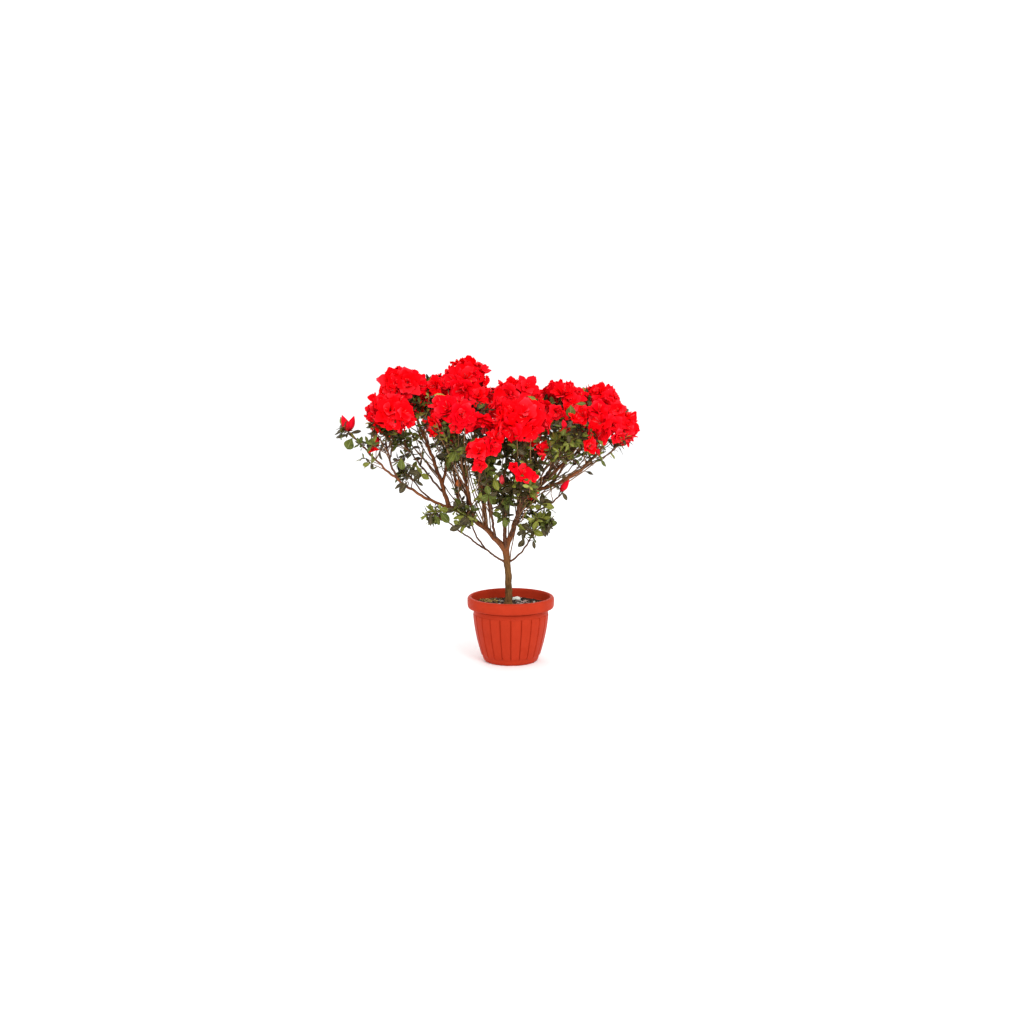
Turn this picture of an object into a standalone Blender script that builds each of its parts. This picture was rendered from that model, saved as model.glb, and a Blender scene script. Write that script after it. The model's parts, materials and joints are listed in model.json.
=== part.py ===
"""Azalea bonsai in its plastic pot, in metres, +Z up.

The origin is the centre of the pot's underside, +X is the right of the front view and -Y its front.
A pot and its soil carry one trunk. Boughs leave the trunk and each other, and each one runs into a
mass: an egg-shaped space in which twigs branch from one stem and carry blooms and leaves.
"""

import math
import random
from collections import namedtuple

import bmesh
import bpy
import numpy as np
from mathutils import Quaternion, Vector
from mathutils.bvhtree import BVHTree

# Driving dimensions
POT_HEIGHT = 0.135
COLLAR_RADIUS = 0.090
COLLAR_HEIGHT = 0.023
BODY_TOP_RADIUS = 0.0774
BODY_BASE_RADIUS = 0.0590
FOOT_RADIUS = 0.0530
BASE_BAND = 0.0110
BODY_CURVE = 1.8
POT_WALL = 0.0025
POT_FLOOR = 0.0030
COLLAR_MOUTH_RADIUS = 0.0810
COLLAR_ROUND = 0.0046
COLLAR_INSET = 0.0034
FOOT_ROUND = 0.0026
PANEL_LEDGE = 0.0015
INNER_STEP = 0.0020
FLUTES = 22
FLUTE_TOP = 0.1045
FLUTE_DEPTH = 0.0009
GROOVE_HALF_WIDTH = 0.0011

SOIL_LEVEL = 0.119
SOIL_LIP = 0.0010
SOIL_MOUND = 0.0030
FORK_HEIGHT = 0.238
TRUNK_LEAN = (-0.0065, 0.0)
TRUNK_FOOT = (-0.0050, 0.0)
TRUNK_BEND = (0.0012, 0.0010, 0.0)
TRUNK_RADIUS = 0.0074
TRUNK_WAIST_RADIUS = 0.0066
TRUNK_FORK_RADIUS = 0.0076
FLARE_RADIUS = 0.0105
FLARE_HEIGHT = 0.014
WAIST_SHARE = 0.60
SWELL_SHARE = 0.70

BLOOM_RADIUS = 0.0340
BLOOM_DEPTH = 0.78
NOTCH_SHARE = 0.78
CREST_SHARE = 0.42
BUD_LENGTH = 0.026
LEAF_LENGTH = 0.0320
LEAF_WIDTH = 0.0135
LEAF_THICKNESS = 0.0014
LEAF_WIDEST = 0.56
BUD_BELLY = (0.19, 0.36)
TWIG_RADIUS = 0.0016
HUB_RADIUS = 0.0022
HUB_HEIGHT = 0.0016
HUB_DROP = 0.0048

# Clearances between the solids, and how finely they are faceted
GAP = 0.0003
SOIL_SEGMENTS = 24
TRUNK_SIDES = 12
BOUGH_SIDES = 5
TWIG_SIDES = 3
TRUNK_POINTS = 13
BOUGH_POINTS = 5
COURSE_POINTS = 41
STEM_POINTS = 4
MASS_ENTRY = 0.97
MASS_MARGIN = 1.06
WHOLE_SHARE = 0.999

# Growth habit: how many directions and sizes a shoot tries, where on its stem it starts, and what it carries
DIRECTIONS = 36
SIZES = (1.0, 0.9, 0.8)
ROOT_SHARES = {"bloom": (0.62, 0.97), "bud": (0.40, 0.90), "spray": (0.25, 0.95)}
BLOOM_REACH = 0.74
LEAF_REACH = 0.66
TIP_REACH = 0.98
RAISED_LEAN = (34.0, 52.0)
SPREAD_LEAN = (62.0, 84.0)
PETALS = 5
WHORL_LEAVES = 5
GOLDEN_TURN = math.pi * (3.0 - math.sqrt(5.0))
CROWN_HEART = Vector((-0.03, 0.0, 0.40))
UP = Vector((0.0, 0.0, 1.0))

# A mass fills an egg-shaped space. Each row is its name, its centre, its half widths, and how many of its
# shoots end in a bloom, in a bud and in a whorl of leaves.
Mass = namedtuple("Mass", "name centre radii blooms buds sprays")

MASS_ROWS = (
    ("left_crown", (-0.220, 0.020, 0.558), (0.056, 0.058, 0.052), 6, 0, 2),
    ("left_front", (-0.246, -0.075, 0.517), (0.050, 0.052, 0.048), 6, 1, 1),
    ("left_shoulder", (-0.152, 0.070, 0.540), (0.052, 0.054, 0.050), 6, 0, 1),
    ("tall_crown", (-0.090, 0.005, 0.569), (0.054, 0.056, 0.058), 7, 0, 2),
    ("front_left", (-0.115, -0.105, 0.510), (0.052, 0.052, 0.048), 6, 0, 2),
    ("centre_crown", (0.008, 0.025, 0.536), (0.060, 0.056, 0.050), 7, 0, 2),
    ("centre_front", (0.018, -0.118, 0.505), (0.062, 0.056, 0.056), 7, 0, 1),
    ("centre_low", (-0.052, -0.130, 0.436), (0.044, 0.046, 0.046), 4, 0, 1),
    ("front_low", (0.032, -0.128, 0.402), (0.040, 0.040, 0.038), 3, 0, 1),
    ("right_mid", (0.102, -0.022, 0.534), (0.052, 0.056, 0.052), 6, 0, 2),
    ("front_right", (0.110, -0.122, 0.482), (0.050, 0.048, 0.048), 4, 1, 2),
    ("right_crown", (0.180, 0.030, 0.524), (0.054, 0.056, 0.050), 6, 0, 1),
    ("right_end", (0.208, -0.050, 0.490), (0.051, 0.054, 0.050), 6, 0, 1),
    ("right_low", (0.128, -0.035, 0.437), (0.056, 0.050, 0.038), 0, 3, 4),
    ("back_left", (-0.145, 0.152, 0.498), (0.054, 0.052, 0.050), 6, 0, 2),
    ("back_mid", (-0.050, 0.132, 0.532), (0.054, 0.054, 0.050), 6, 0, 2),
    ("back_centre", (0.052, 0.148, 0.512), (0.054, 0.052, 0.050), 6, 0, 2),
    ("back_right", (0.142, 0.130, 0.485), (0.052, 0.052, 0.048), 6, 0, 2),
    ("left_tip", (-0.322, -0.040, 0.478), (0.040, 0.034, 0.036), 0, 2, 3),
    ("left_under", (-0.214, -0.015, 0.450), (0.052, 0.044, 0.036), 0, 1, 6),
    ("left_spray", (-0.206, 0.000, 0.386), (0.042, 0.036, 0.034), 0, 0, 6),
    ("low_left", (-0.146, -0.020, 0.306), (0.040, 0.034, 0.032), 0, 0, 5),
    ("low_inner", (-0.087, -0.050, 0.313), (0.032, 0.032, 0.030), 0, 0, 4),
    ("inner_left", (-0.104, 0.010, 0.424), (0.052, 0.054, 0.054), 0, 1, 6),
    ("inner_centre", (-0.018, -0.045, 0.354), (0.050, 0.044, 0.050), 0, 1, 7),
    ("low_right", (0.058, -0.020, 0.302), (0.040, 0.038, 0.048), 0, 0, 6),
    ("right_bud", (0.112, -0.040, 0.366), (0.030, 0.028, 0.032), 0, 1, 3),
)

# A bough leaves its parent at a share of the parent's length and runs to a point or into a mass. Each row is
# its name, its parent, that share, its end, how far its middle stands off the straight line, its two radii.
Bough = namedtuple("Bough", "name parent share end bow radius tip_radius")

BOUGH_ROWS = (
    ("left", "trunk", 0.94, (-0.126, -0.010, 0.322), (0.0, 0.0, 0.014), 0.0060, 0.0046),
    ("right", "trunk", 0.95, (0.033, -0.010, 0.357), (0.002, 0.0, 0.004), 0.0058, 0.0044),
    ("centre", "trunk", 0.97, "centre_crown", (-0.010, 0.018, 0.0), 0.0042, 0.0024),
    ("left_upper", "left", 1.00, "left_crown", (0.004, 0.0, 0.006), 0.0044, 0.0026),
    ("left_long", "left", 0.90, "left_tip", (0.0, 0.0, -0.026), 0.0034, 0.0017),
    ("left_riser", "left_upper", 0.22, "left_shoulder", (0.016, 0.0, 0.0), 0.0032, 0.0021),
    ("left_under", "left_upper", 0.12, "left_under", (-0.004, -0.006, 0.004), 0.0023, 0.0017),
    ("left_front", "left_long", 0.62, "left_front", (-0.010, -0.006, 0.0), 0.0023, 0.0018),
    ("left_spray", "left_long", 0.24, "left_spray", (-0.004, 0.0, 0.0), 0.0020, 0.0016),
    ("low_left", "trunk", 0.70, "low_left", (0.0, 0.0, -0.002), 0.0022, 0.0016),
    ("low_inner", "low_left", 0.38, "low_inner", (-0.004, -0.004, 0.0), 0.0019, 0.0016),
    ("tall", "left", 0.34, "tall_crown", (0.004, 0.006, 0.0), 0.0042, 0.0024),
    ("inner_left", "left", 0.66, "inner_left", (0.004, 0.0, 0.0), 0.0024, 0.0018),
    ("front_left", "left", 0.55, "front_left", (0.0, -0.016, 0.0), 0.0030, 0.0020),
    ("centre_low", "left", 0.18, "centre_low", (0.0, -0.022, -0.004), 0.0028, 0.0019),
    ("inner_centre", "trunk", 0.90, "inner_centre", (0.0, -0.006, 0.0), 0.0026, 0.0018),
    ("front_low", "right", 0.20, "front_low", (0.004, -0.018, -0.004), 0.0026, 0.0018),
    ("front", "right", 0.45, "centre_front", (0.008, -0.016, -0.006), 0.0036, 0.0022),
    ("right_outer", "right", 1.00, "right_end", (0.010, -0.008, -0.030), 0.0040, 0.0022),
    ("right_crown", "right", 0.88, "right_crown", (0.006, 0.014, -0.022), 0.0036, 0.0022),
    ("right_mid", "right", 0.72, "right_mid", (-0.008, 0.004, 0.0), 0.0032, 0.0021),
    ("front_right", "right_outer", 0.14, "front_right", (0.0, -0.018, -0.006), 0.0027, 0.0019),
    ("right_low", "right_outer", 0.30, "right_low", (0.0, 0.002, 0.004), 0.0023, 0.0017),
    ("right_bud", "right", 0.56, "right_bud", (0.006, -0.004, -0.012), 0.0020, 0.0016),
    ("low_right", "trunk", 0.70, "low_right", (0.006, 0.0, -0.012), 0.0022, 0.0016),
    ("back_left", "left", 0.80, "back_left", (0.0, 0.020, 0.0), 0.0032, 0.0020),
    ("back_mid", "tall", 0.16, "back_mid", (0.0, 0.022, 0.0), 0.0030, 0.0020),
    ("back_centre", "centre", 0.22, "back_centre", (0.004, 0.020, 0.0), 0.0030, 0.0020),
    ("back_right", "right", 0.64, "back_right", (0.004, 0.020, -0.006), 0.0030, 0.0020),
)


def clear_scene():
    for obj in list(bpy.data.objects):
        bpy.data.objects.remove(obj, do_unlink=True)


def principled(name, colour, roughness, metallic=0.0):
    material = bpy.data.materials.new(name)
    material.use_nodes = True
    shader = material.node_tree.nodes["Principled BSDF"]
    shader.inputs["Base Color"].default_value = (*colour, 1.0)
    shader.inputs["Roughness"].default_value = roughness
    shader.inputs["Metallic"].default_value = metallic
    return material


def make_object(name, points, faces, material=None):
    """A mesh object in the scene, with its faces turned outwards."""
    mesh = bpy.data.meshes.new(name)
    mesh.from_pydata([tuple(p) for p in points], [], [tuple(f) for f in faces])
    bm = bmesh.new()
    bm.from_mesh(mesh)
    bmesh.ops.recalc_face_normals(bm, faces=bm.faces)
    bm.to_mesh(mesh)
    bm.free()
    if material:
        mesh.materials.append(material)
    obj = bpy.data.objects.new(name, mesh)
    bpy.context.scene.collection.objects.link(obj)
    return obj


def shade_smooth(obj, angle_deg):
    obj.data.shade_smooth()
    obj.data.set_sharp_from_angle(angle=math.radians(angle_deg))


# Pot and soil


def body_radius(height):
    """Radius of the pot's convex body: near vertical under the collar, drawing in towards the foot."""
    span = POT_HEIGHT - COLLAR_HEIGHT - BASE_BAND
    share = min(1.0, max(0.0, (height - BASE_BAND) / span))
    return BODY_BASE_RADIUS + (BODY_TOP_RADIUS - BODY_BASE_RADIUS) * (1.0 - (1.0 - share) ** BODY_CURVE)


def ring(radii, height, angles):
    return [(r * math.cos(a), r * math.sin(a), height) for r, a in zip(radii, angles)]


def flute_angles(with_edges):
    """Angles round the pot: each groove's middle and each panel's, with the groove's two edges between."""
    pitch = 2.0 * math.pi / FLUTES
    edge = GROOVE_HALF_WIDTH / BODY_TOP_RADIUS
    steps = (0.0, edge, pitch / 2.0, pitch - edge) if with_edges else (0.0, pitch / 2.0)
    return [-math.pi / 2.0 + pitch * k + step for k in range(FLUTES) for step in steps]


def band_faces(lower, upper, count):
    return [
        (lower + i, lower + (i + 1) % count, upper + (i + 1) % count, upper + i)
        for i in range(count)
    ]


def stepped_band_faces(plain, fluted):
    """Faces between a ring with two points to a flute and a ring with four."""
    faces = []
    for k in range(FLUTES):
        a, b = plain + 2 * k, plain + 2 * k + 1
        a_next = plain + (2 * k + 2) % (2 * FLUTES)
        groove, left, middle, right = (fluted + 4 * k + j for j in range(4))
        groove_next = fluted + (4 * k + 4) % (4 * FLUTES)
        faces += [(a, groove, left), (a, left, b), (b, left, middle), (b, middle, right)]
        faces += [(b, right, a_next), (a_next, right, groove_next)]
    return faces


def pot_rings():
    """The pot's outline from the middle of its underside, up the outside and down the inside to the floor.

    Each row is a radius, a height and whether the ring carries the flutes.
    """
    collar_foot = POT_HEIGHT - COLLAR_HEIGHT
    rows = [
        (FOOT_RADIUS, 0.0, False),
        (FOOT_RADIUS + FOOT_ROUND, FOOT_ROUND * 0.6, False),
        (body_radius(BASE_BAND), BASE_BAND, False),
    ]
    flute_foot = BASE_BAND + PANEL_LEDGE
    for share in (0.0, 0.30, 0.62, 1.0):
        height = flute_foot + share * (FLUTE_TOP - flute_foot)
        rows.append((body_radius(height) + FLUTE_DEPTH, height, True))
    smooth_band = FLUTE_TOP + PANEL_LEDGE * 0.4
    rows += [
        (body_radius(smooth_band), smooth_band, False),
        (BODY_TOP_RADIUS, collar_foot + GAP, False),
        (COLLAR_RADIUS - COLLAR_INSET, collar_foot, False),
        (COLLAR_RADIUS, collar_foot + COLLAR_HEIGHT * 0.5, False),
        (COLLAR_RADIUS - COLLAR_ROUND * 0.13, POT_HEIGHT - COLLAR_ROUND, False),
        (COLLAR_RADIUS - COLLAR_ROUND * 0.54, POT_HEIGHT - COLLAR_ROUND * 0.22, False),
        (COLLAR_RADIUS - COLLAR_ROUND * 1.04, POT_HEIGHT, False),
        (COLLAR_MOUTH_RADIUS, POT_HEIGHT - COLLAR_ROUND, False),
        (COLLAR_MOUTH_RADIUS, SOIL_LEVEL - SOIL_LIP, False),
        (BODY_TOP_RADIUS - POT_WALL, collar_foot - INNER_STEP, False),
    ]
    for share in (0.45, 0.0):
        height = POT_FLOOR + share * (collar_foot - POT_FLOOR)
        rows.append((body_radius(height) - POT_WALL, height, False))
    return rows


def make_pot():
    points, faces = [], []
    starts = []
    plain, fluted = flute_angles(False), flute_angles(True)
    for radius, height, has_flutes in pot_rings():
        starts.append((len(points), has_flutes))
        if has_flutes:
            radii = [radius - FLUTE_DEPTH * (i % 4 == 0) * 2.0 for i in range(len(fluted))]
            points += ring(radii, height, fluted)
        else:
            points += ring([radius] * len(plain), height, plain)
    for (lower, lower_fluted), (upper, upper_fluted) in zip(starts, starts[1:]):
        if lower_fluted == upper_fluted:
            faces += band_faces(lower, upper, len(fluted) if lower_fluted else len(plain))
        elif upper_fluted:
            faces += stepped_band_faces(lower, upper)
        else:
            faces += stepped_band_faces(upper, lower)
    for start in (starts[0][0], starts[-1][0]):
        height = points[start][2]
        middle = len(points)
        points.append((0.0, 0.0, height))
        count = len(plain)
        faces += [(middle, start + i, start + (i + 1) % count) for i in range(count)]
    pot = make_object("pot", points, faces, principled("terracotta_plastic", (0.56, 0.055, 0.020), 0.45))
    shade_smooth(pot, 32.0)
    return pot


def make_soil():
    """The soil fills the pot to just under its mouth, a little mounded towards the trunk."""
    collar_foot = POT_HEIGHT - COLLAR_HEIGHT
    floor = POT_FLOOR + GAP
    edge = SOIL_LEVEL - SOIL_MOUND
    bend = collar_foot * 0.46
    mouth = BODY_TOP_RADIUS - POT_WALL
    rows = [
        (body_radius(POT_FLOOR) - POT_WALL - 2.0 * GAP, floor),
        (body_radius(bend) - POT_WALL - 4.0 * GAP, bend),
        (mouth - 3.0 * GAP, collar_foot - INNER_STEP),
        (mouth + 7.0 * GAP, edge - SOIL_LIP),
        (mouth + 8.0 * GAP, edge),
        (BODY_TOP_RADIUS * 0.72, SOIL_LEVEL - SOIL_MOUND * 0.27),
        (FLARE_RADIUS * 2.2, SOIL_LEVEL),
    ]
    angles = [2.0 * math.pi * k / SOIL_SEGMENTS for k in range(SOIL_SEGMENTS)]
    points, faces = [], []
    for radius, height in rows:
        points += ring([radius] * SOIL_SEGMENTS, height, angles)
    for level in range(len(rows) - 1):
        faces += band_faces(level * SOIL_SEGMENTS, (level + 1) * SOIL_SEGMENTS, SOIL_SEGMENTS)
    last = (len(rows) - 1) * SOIL_SEGMENTS
    for start, height in ((0, floor), (last, SOIL_LEVEL)):
        middle = len(points)
        points.append((0.0, 0.0, height))
        faces += [(middle, start + i, start + (i + 1) % SOIL_SEGMENTS) for i in range(SOIL_SEGMENTS)]
    return make_object("soil", points, faces, principled("soil", (0.030, 0.018, 0.010), 0.95))


# Limbs: a path is a list of points, and a tube is swept along it


def arc_path(start, end, bow, steps):
    """Points from start to end whose middle stands off the straight line by bow."""
    return [start.lerp(end, t) + bow * (4.0 * t * (1.0 - t)) for t in np.linspace(0.0, 1.0, steps)]


def tangent(path, i):
    return (path[min(i + 1, len(path) - 1)] - path[max(i - 1, 0)]).normalized()


def tube(path, radii, sides, flat_foot=False):
    """Points and faces of a closed tube along a path, which turns without twisting."""
    points, faces = [], []
    along = UP if flat_foot else tangent(path, 0)
    across = along.orthogonal().normalized()
    for i, (centre, radius) in enumerate(zip(path, radii)):
        turned = UP if flat_foot and i == 0 else tangent(path, i)
        across = along.rotation_difference(turned) @ across
        along = turned
        other = along.cross(across)
        for k in range(sides):
            angle = 2.0 * math.pi * k / sides
            points.append(centre + (across * math.cos(angle) + other * math.sin(angle)) * radius)
    for i in range(len(path) - 1):
        faces += band_faces(i * sides, (i + 1) * sides, sides)
    last = (len(path) - 1) * sides
    faces += [tuple(range(sides))[::-1], tuple(range(last, last + sides))]
    return points, faces


def point_at(path, share):
    """The point at a share of the path's steps, and the direction there."""
    place = share * (len(path) - 1)
    i = min(int(place), len(path) - 2)
    return path[i].lerp(path[i + 1], place - i), (path[i + 1] - path[i]).normalized()


def inside_share(mass, point):
    """How far out of a mass's space a point lies: 0 at its centre, 1 on its surface."""
    offset = point - Vector(mass.centre)
    return math.sqrt(sum((offset[k] / mass.radii[k]) ** 2 for k in range(3)))


def trunk_path():
    """From the soil to the fork, leaning as it rises, with a slight bend part way up."""
    foot = Vector((*TRUNK_FOOT, SOIL_LEVEL + GAP))
    top = Vector((TRUNK_FOOT[0] + TRUNK_LEAN[0], TRUNK_FOOT[1] + TRUNK_LEAN[1], FORK_HEIGHT))
    return arc_path(foot, top, Vector(TRUNK_BEND), TRUNK_POINTS)


def trunk_radii(path):
    radii = []
    for point in path:
        share = (point.z - SOIL_LEVEL) / (FORK_HEIGHT - SOIL_LEVEL)
        waist = TRUNK_RADIUS + (TRUNK_WAIST_RADIUS - TRUNK_RADIUS) * min(1.0, share / WAIST_SHARE)
        near_fork = max(0.0, (share - SWELL_SHARE) / (1.0 - SWELL_SHARE))
        swell = (TRUNK_FORK_RADIUS - TRUNK_WAIST_RADIUS) * near_fork
        flare = (FLARE_RADIUS - TRUNK_RADIUS) * max(0.0, 1.0 - (point.z - SOIL_LEVEL) / FLARE_HEIGHT) ** 2
        radii.append(waist + swell + flare)
    return radii


def bough_course(bough, limbs, masses):
    """A bough's own path, and the rest of its course, which the stem of its mass follows."""
    parent = limbs[bough.parent]
    start, heading = point_at(parent["path"], bough.share)
    if bough.share == 1.0:
        start = start + heading * GAP
    bow = Vector(bough.bow)
    if bough.end not in masses:
        return arc_path(start, Vector(bough.end), bow, BOUGH_POINTS + 2), []
    mass = masses[bough.end]
    course = arc_path(start, Vector(mass.centre), bow, COURSE_POINTS)
    entry = next(i for i, p in enumerate(course) if inside_share(mass, p) < MASS_ENTRY)
    own = [point_at(course[: entry + 1], t)[0] for t in np.linspace(0.0, 1.0, BOUGH_POINTS)]
    heading = (own[-1] - own[-2]).normalized()
    return own, [own[-1] + heading * GAP] + course[entry + 2 :]


def boolean(obj, operation, others, solver="EXACT"):
    """Joins obj with, or cuts it by, the objects in a collection, and applies the result."""
    collection = bpy.data.collections.new("operands")
    for other in others:
        collection.objects.link(other)
    modifier = obj.modifiers.new(operation.lower(), "BOOLEAN")
    modifier.operation = operation
    modifier.operand_type = "COLLECTION"
    modifier.collection = collection
    modifier.solver = solver
    bpy.context.view_layer.update()
    evaluated = obj.evaluated_get(bpy.context.evaluated_depsgraph_get())
    result = bpy.data.meshes.new_from_object(evaluated)
    obj.modifiers.clear()
    old = obj.data
    obj.data = result
    bpy.data.meshes.remove(old)
    for other in others:
        mesh = other.data
        bpy.data.objects.remove(other, do_unlink=True)
        bpy.data.meshes.remove(mesh)
    bpy.data.collections.remove(collection)


def signed_volume(faces):
    total = 0.0
    for face in faces:
        corners = [v.co for v in face.verts]
        for b, c in zip(corners[1:], corners[2:]):
            total += corners[0].dot(b.cross(c)) / 6.0
    return total


def bodies_of(bm):
    """The groups of faces that hang together across edges that have two faces."""
    unseen = set(bm.faces)
    bodies = []
    while unseen:
        queue = [unseen.pop()]
        body = set(queue)
        while queue:
            for edge in queue.pop().edges:
                if len(edge.link_faces) != 2:
                    continue
                for face in edge.link_faces:
                    if face in unseen:
                        unseen.discard(face)
                        body.add(face)
                        queue.append(face)
        bodies.append(body)
    return bodies


def keep_largest_body(obj):
    """Drops loose scraps, and the inner walls of any hollow that joining has sealed.

    It returns the share of the volume that is left.
    """
    bm = bmesh.new()
    bm.from_mesh(obj.data)
    bmesh.ops.triangulate(bm, faces=bm.faces)
    bodies = bodies_of(bm)
    volumes = [abs(signed_volume(body)) for body in bodies]
    best = bodies[volumes.index(max(volumes))]
    bmesh.ops.delete(bm, geom=[f for f in bm.faces if f not in best], context="FACES")
    bm.to_mesh(obj.data)
    bm.free()
    return max(volumes) / sum(volumes)


def add_limb(limbs, name, node, path, radii, sides, material, flat_foot=False):
    """Makes a limb, cut clear of the limbs that it grows out of."""
    obj = make_object(node, *tube(path, radii, sides, flat_foot), material)
    own = BVHTree.FromObject(obj, bpy.context.evaluated_depsgraph_get())
    cutters = []
    for other in limbs.values():
        if own.overlap(other["grown"]):
            cutters.append(make_object("cutter", *other["grown_shape"]))
    if cutters:
        boolean(obj, "DIFFERENCE", cutters)
        keep_largest_body(obj)
    shade_smooth(obj, 60.0)
    first, last = path[0] - path[1], path[-1] - path[-2]
    longer = [path[0] + first.normalized() * GAP * (not flat_foot)] + path[1:-1]
    longer.append(path[-1] + last.normalized() * GAP)
    shape = tube(longer, [r + 1.4 * GAP for r in radii], sides, flat_foot)
    limbs[name] = {"path": path, "grown_shape": shape, "grown": BVHTree.FromPolygons(*shape)}


def tapered(start, end, count):
    return list(np.linspace(start, end, count))


def make_limbs(masses):
    """The trunk, then each bough, and the course that each mass's stem follows."""
    limbs, stems = {}, {}
    bark = principled("trunk_bark", (0.19, 0.105, 0.048), 0.85)
    path = trunk_path()
    add_limb(limbs, "trunk", "trunk", path, trunk_radii(path), TRUNK_SIDES, bark, flat_foot=True)
    for bough in (Bough(*row) for row in BOUGH_ROWS):
        node = bough.name + "_bough"
        path, stem = bough_course(bough, limbs, masses)
        radii = tapered(bough.radius, bough.tip_radius, len(path))
        bark = principled(node + "_bark", (0.16, 0.060, 0.030), 0.8)
        add_limb(limbs, bough.name, node, path, radii, BOUGH_SIDES, bark)
        if stem:
            stems[bough.end] = (stem, bough.tip_radius)
    return limbs, stems


# Masses: shoots that carry blooms, buds or leaves, as small closed shapes which are then joined


def frame_about(axis, turn):
    """Two directions across an axis, turned about it."""
    across = Quaternion(axis, turn) @ axis.orthogonal().normalized()
    return across, axis.cross(across)


def placer(base, axis, turn):
    """A function that gives the point at an angle round an axis, a distance out from it and a height."""
    across, other = frame_about(axis, turn)

    def place(angle, out, up):
        return base + axis * up + (across * math.cos(angle) + other * math.sin(angle)) * out

    return place


def foot_points(place, height):
    """The ring of points where a shape sits on its twig."""
    return [place(2.0 * math.pi * k / TWIG_SIDES, TWIG_RADIUS, height) for k in range(TWIG_SIDES)]


def strip_faces(narrow, narrow_count, wide, wide_count):
    """Faces between a ring of few points and a ring of more."""
    faces = []
    for i in range(wide_count):
        near, far = (((j * narrow_count + wide_count // 2) // wide_count) % narrow_count for j in (i, i + 1))
        after = wide + (i + 1) % wide_count
        faces.append((narrow + near, after, wide + i))
        if near != far:
            faces.append((narrow + near, narrow + far, after))
    return faces


def on_twig(shape, root, base, axis):
    """A shape and its twig as one closed shape: its first ring of points is repeated at the twig's root."""
    points, faces = shape
    bend = axis.rotation_difference((base - root).normalized())
    start = len(points)
    points = points + [root + bend @ (p - base) for p in points[:TWIG_SIDES]]
    faces = faces[1:] + band_faces(start, 0, TWIG_SIDES) + [tuple(range(start, start + TWIG_SIDES))]
    return points, faces


def bloom_shape(base, axis, radius, rng):
    """An open double flower: a funnel with five notched petals, and inner petals crowded in its middle.

    Its first three points are the foot that sits on its twig, and its first face closes that foot.
    """
    place = placer(base, axis, rng.uniform(0.0, 2.0 * math.pi))
    petal = 2.0 * math.pi / PETALS
    depth = BLOOM_DEPTH * radius
    points = foot_points(place, 0.0)
    for k in range(PETALS):
        points.append(place((k - 0.50) * petal, NOTCH_SHARE * radius, rng.uniform(0.76, 0.88) * depth))
        points.append(place((k - 0.22) * petal, radius, rng.uniform(0.80, 1.00) * depth))
        points.append(place((k + 0.22) * petal, radius, rng.uniform(0.80, 1.00) * depth))
    for k in range(PETALS):
        points.append(place(k * petal, CREST_SHARE * radius, rng.uniform(1.12, 1.28) * depth))
    points.append(place(0.0, 0.0, 0.98 * depth))
    rim, rim_count = TWIG_SIDES, 3 * PETALS
    crest, middle = rim + rim_count, rim + rim_count + PETALS
    faces = [tuple(range(TWIG_SIDES))] + strip_faces(0, TWIG_SIDES, rim, rim_count)
    for k in range(PETALS):
        after = crest + (k + 1) % PETALS
        notch, near, far, next_notch = (rim + (3 * k + j) % rim_count for j in range(4))
        faces += [(notch, near, crest + k), (near, far, crest + k), (far, next_notch, crest + k)]
        faces += [(next_notch, after, crest + k), (crest + k, after, middle)]
    return points, faces


def leaf_points(root, heading, up, length):
    """A leaf's left, tip, right and under points."""
    side = heading.cross(up).normalized()
    half_width = 0.5 * LEAF_WIDTH * length / LEAF_LENGTH
    widest = root + heading * (LEAF_WIDEST * length)
    under = heading.cross(side) * LEAF_THICKNESS
    if under.dot(up) > 0.0:
        under = -under
    return [widest + side * half_width, root + heading * length, widest - side * half_width, widest + under]


def leaf_room(root, heading, up, length):
    """A closed shape that stands for one leaf when its room is tested."""
    left, tip, right, under = leaf_points(root, heading, up, length)
    points = [root, left, tip, right, root.lerp(tip, 0.5) - (under - left.lerp(right, 0.5)), under]
    return points, [(4, k, (k + 1) % 4) for k in range(4)] + [(5, (k + 1) % 4, k) for k in range(4)]


def leafy_end(tip, axis, leaves, bud_length, turn):
    """A small hub at a twig's end with a leaf on each side that has room, and a bud if it has a length.

    Leaves holds a heading, an up direction and a length for each side of the hub, or None. The first three
    points are the foot that sits on the twig, and the first face closes that foot.
    """
    count = len(leaves)
    place = placer(tip, axis, turn)
    angles = [2.0 * math.pi * k / count for k in range(count)]
    points = foot_points(place, -HUB_DROP)
    points += [place(angle, HUB_RADIUS, -HUB_HEIGHT) for angle in angles]
    points += [place(angle, HUB_RADIUS, 0.0) for angle in angles]
    low, high = TWIG_SIDES, TWIG_SIDES + count
    faces = [tuple(range(TWIG_SIDES))] + strip_faces(0, TWIG_SIDES, low, count)
    for k, leaf in enumerate(leaves):
        after = (k + 1) % count
        corners = (low + k, low + after, high + after, high + k)
        if leaf is None:
            faces.append(corners)
            continue
        left = len(points)
        points += leaf_points((points[corners[0]] + points[corners[1]]) / 2.0, *leaf)
        right_side = (points[left] - points[left + 2]).dot(points[corners[1]] - points[corners[0]]) > 0.0
        near, far = (left + 2, left) if right_side else (left, left + 2)
        leaf_tip, under = left + 1, left + 3
        faces += [(low + k, high + k, near), (low + after, far, high + after)]
        faces += [(high + k, high + after, near), (near, high + after, far), (near, far, leaf_tip)]
        faces += [(low + k, near, under), (near, leaf_tip, under), (leaf_tip, far, under)]
        faces += [(far, low + after, under), (low + after, low + k, under)]
    if bud_length:
        belly = len(points)
        out, up = (share * bud_length for share in BUD_BELLY)
        points += [place(angle, out, up) for angle in angles]
        faces += band_faces(high, belly, count)
        high = belly
    points.append(place(0.0, 0.0, bud_length or HUB_HEIGHT))
    faces += [(high + k, high + (k + 1) % count, len(points) - 1) for k in range(count)]
    return points, faces


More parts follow.
